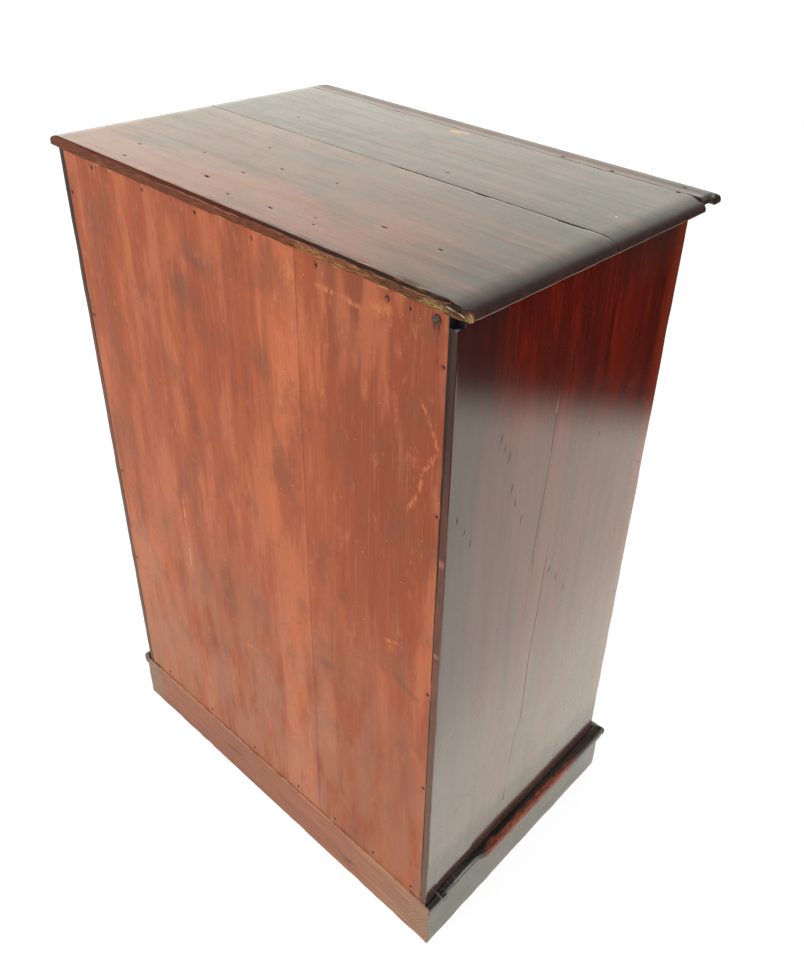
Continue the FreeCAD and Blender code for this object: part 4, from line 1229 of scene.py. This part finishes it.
# ---------------------------------------------------------------- what keeps its CAD outline
def eased(node, slot, materials, body, grain, width=0.5):
    """A CAD node with its arrises softened."""
    mesh = nodes[node].data.copy()
    mesh.name = "shown_" + node
    mesh.materials.clear()
    bm = bmesh.new()
    bm.from_mesh(mesh)
    bmesh.ops.remove_doubles(bm, verts=bm.verts, dist=2e-5)
    bmesh.ops.dissolve_limit(bm, angle_limit=math.radians(0.5), verts=bm.verts, edges=bm.edges)
    bm.to_mesh(mesh)
    bm.free()
    ease(mesh, width, 3.0)
    placed(mesh, node, slot, materials, body, grain, smooth_angle=40)


# a knob from its peg to its crown: way out from the drawer's face, radius; the head's radius is 10
KNOB = [(-11, 0), (-11, 4), (-0.2, 4), (0, 7.0), (0.35, 7.45), (1.2, 7.5), (2.1, 7.4), (2.5, 7.0), (2.9, 6.3),
        (3.6, 5.75), (4.8, 5.3), (6.3, 5.05), (7.8, 5.0), (8.8, 5.2), (9.9, 5.9), (11.0, 7.2), (12.0, 8.7),
        (12.7, 9.55), (13.4, 9.93), (14.2, 9.98), (15.2, 9.8), (16.4, 9.3), (17.6, 8.45), (18.6, 7.3),
        (19.5, 5.9), (20.2, 4.3), (20.6, 3.2), (20.75, 2.6), (20.95, 1.6)]


def knobs(body):
    """Two turned knobs with a collar, a waisted neck and a crowned head."""
    low, high = span(body + "_knobs")
    face = span(body + "_front")[0][Y]
    radius, height = (high[Z] - low[Z]) / 2, (low[Z] + high[Z]) / 2
    parts = []
    for x in (low[X] + radius, high[X] - radius):
        points, faces = turned([(t, r * radius / 10) for t, r in KNOB] + [(face - low[Y], 0)], 40)
        parts.append((np.stack([x + points[:, X], face - points[:, Z], height + points[:, Y]], 1), faces))
    piece(body + "_knobs", *joined(parts), "knob_mahogany_stain", [knob_stain], body=body, arris=0, smooth_angle=60)


def drawers():
    """Eight drawers, each of five pieces that slide as one body."""
    for number in range(1, 9):
        body = f"drawer_{number}"
        for part, slot, materials, grain, width in (
                ("front", "drawer_front_mahogany_stain", [drawer_stain, drawer_end], X, 0.6),
                ("sides", "raw_pine", [pine_y], Y, 0.35), ("back", "raw_pine", [pine_x, pine_end], X, 0.35),
                ("bottom", "raw_pine", [pine_x], X, 0.3)):
            eased(f"{body}_{part}", slot, materials, body, grain, width)
        knobs(body)


top_boards()
case_side("case_side_left", 1, [case_left, case_end, lip_paint])
case_side("case_side_right", -1, [case_right, case_end, lip_paint])
back_boards()
back_nails()
plinth()
mouldings()
eased("base_board", "case_mahogany_stain", [case_rail, rail_end], "case", X)
eased("top_rail_front", "case_mahogany_stain", [case_rail, rail_end], "case", X)
eased("top_rail_back", "raw_pine", [pine_x], "case", X)
eased("drawer_runners", "raw_pine", [pine_y], "case", Y)
drawers()


# ---------------------------------------------------------------- floor, light and camera
def floor():
    """A pale sheet that stops a little way off on the dark side of the room."""
    mesh = bpy.data.meshes.new("floor")
    far, cut = 6.0, -2.20
    mesh.from_pydata([(far + cut, -far, 0), (far, -far, 0), (far, far, 0), (-far, far, 0), (-far, far + cut, 0)],
                     [], [range(5)])
    s = Shade("floor_paper")

    def paper(grey, glow=None, strength=0.0):
        """Paper of a colour, with or without a glow of its own."""
        plain = s.add("BsdfDiffuse", {"Color": grey})
        return s.add("AddShader", (s.add("Emission", {"Color": glow, "Strength": strength}), plain)) if glow else plain

    # the sheet as the varnish shows it fades out toward the dark side of the room
    place = s.place[X] * 0.556 + s.place[Y] * 0.831
    glossy = paper((0.74, 0.76, 0.67), (1.0, 0.95, 0.83), 0.57)
    glossy = s.add("MixShader", (s.ramp(place, -1.050, -0.855), paper((0.02, 0.02, 0.02)), glossy))
    mesh.materials.append(s.by_ray(paper((0.80, 0.80, 0.79)), glossy, paper((0.26, 0.26, 0.26), (1, 1, 1), 0.86)))
    in_scene("floor", mesh)


def room():
    """White where the camera looks past the object, plain soft light on it, and in its gloss one bright side."""
    s = Shade("room", world=True)
    side = s.ramp(s.vector("DOT_PRODUCT", s.coords, (0.63, -0.77, 0.0), out="Value"), 0.28, 0.80, 0.05, 1.0)
    height = s.place[Z]
    gloss = side * s.ramp(height, 0.05, 0.60, 1.30, 0.85) * s.ramp(height, -0.02, 0.03) + 0.02
    world = s.by_ray(*[s.add("Background", {"Color": colour, "Strength": strength}) for colour, strength in (
        ((1, 1, 1), 0.86), ((1.0, 0.965, 0.86), gloss), ((1, 1, 1), 1.0))])
    world.cycles.sampling_method = "NONE"
    bpy.context.scene.world = world


def lamp():
    """One broad soft lamp behind and above the camera."""
    data = bpy.data.lights.new("soft_lamp", "AREA")
    data.shape, data.size, data.energy = "DISK", 1.8, 16.0
    made = in_scene("soft_lamp", data)
    made.location = (0.9, 2.2, 2.4)
    aim = -made.location.copy()
    aim.z += 0.35
    made.rotation_mode = "QUATERNION"
    made.rotation_quaternion = aim.to_track_quat("-Z", "Y")


def camera():
    """The view point: behind, to the left and above."""
    data = bpy.data.cameras.new("camera")
    data.sensor_width, data.lens = 36.0, 34.315
    data.shift_x, data.shift_y = -0.05155, -0.05995
    data.clip_start, data.clip_end = 0.01, 60
    made = in_scene("camera", data)
    right, up, ahead = (-0.75079, -0.65881, 0.04778), (0.3883, -0.38168, 0.83878), (0.53435, -0.6483, -0.54238)
    turn = Matrix((right, up, [-a for a in ahead])).transposed().to_4x4()
    made.matrix_world = Matrix.Translation((-0.50542, 0.50420, 0.85695)) @ turn
    bpy.context.scene.camera = made


floor()
room()
lamp()
camera()
bpy.context.scene.view_settings.view_transform = "Standard"

bpy.context.view_layer.update()
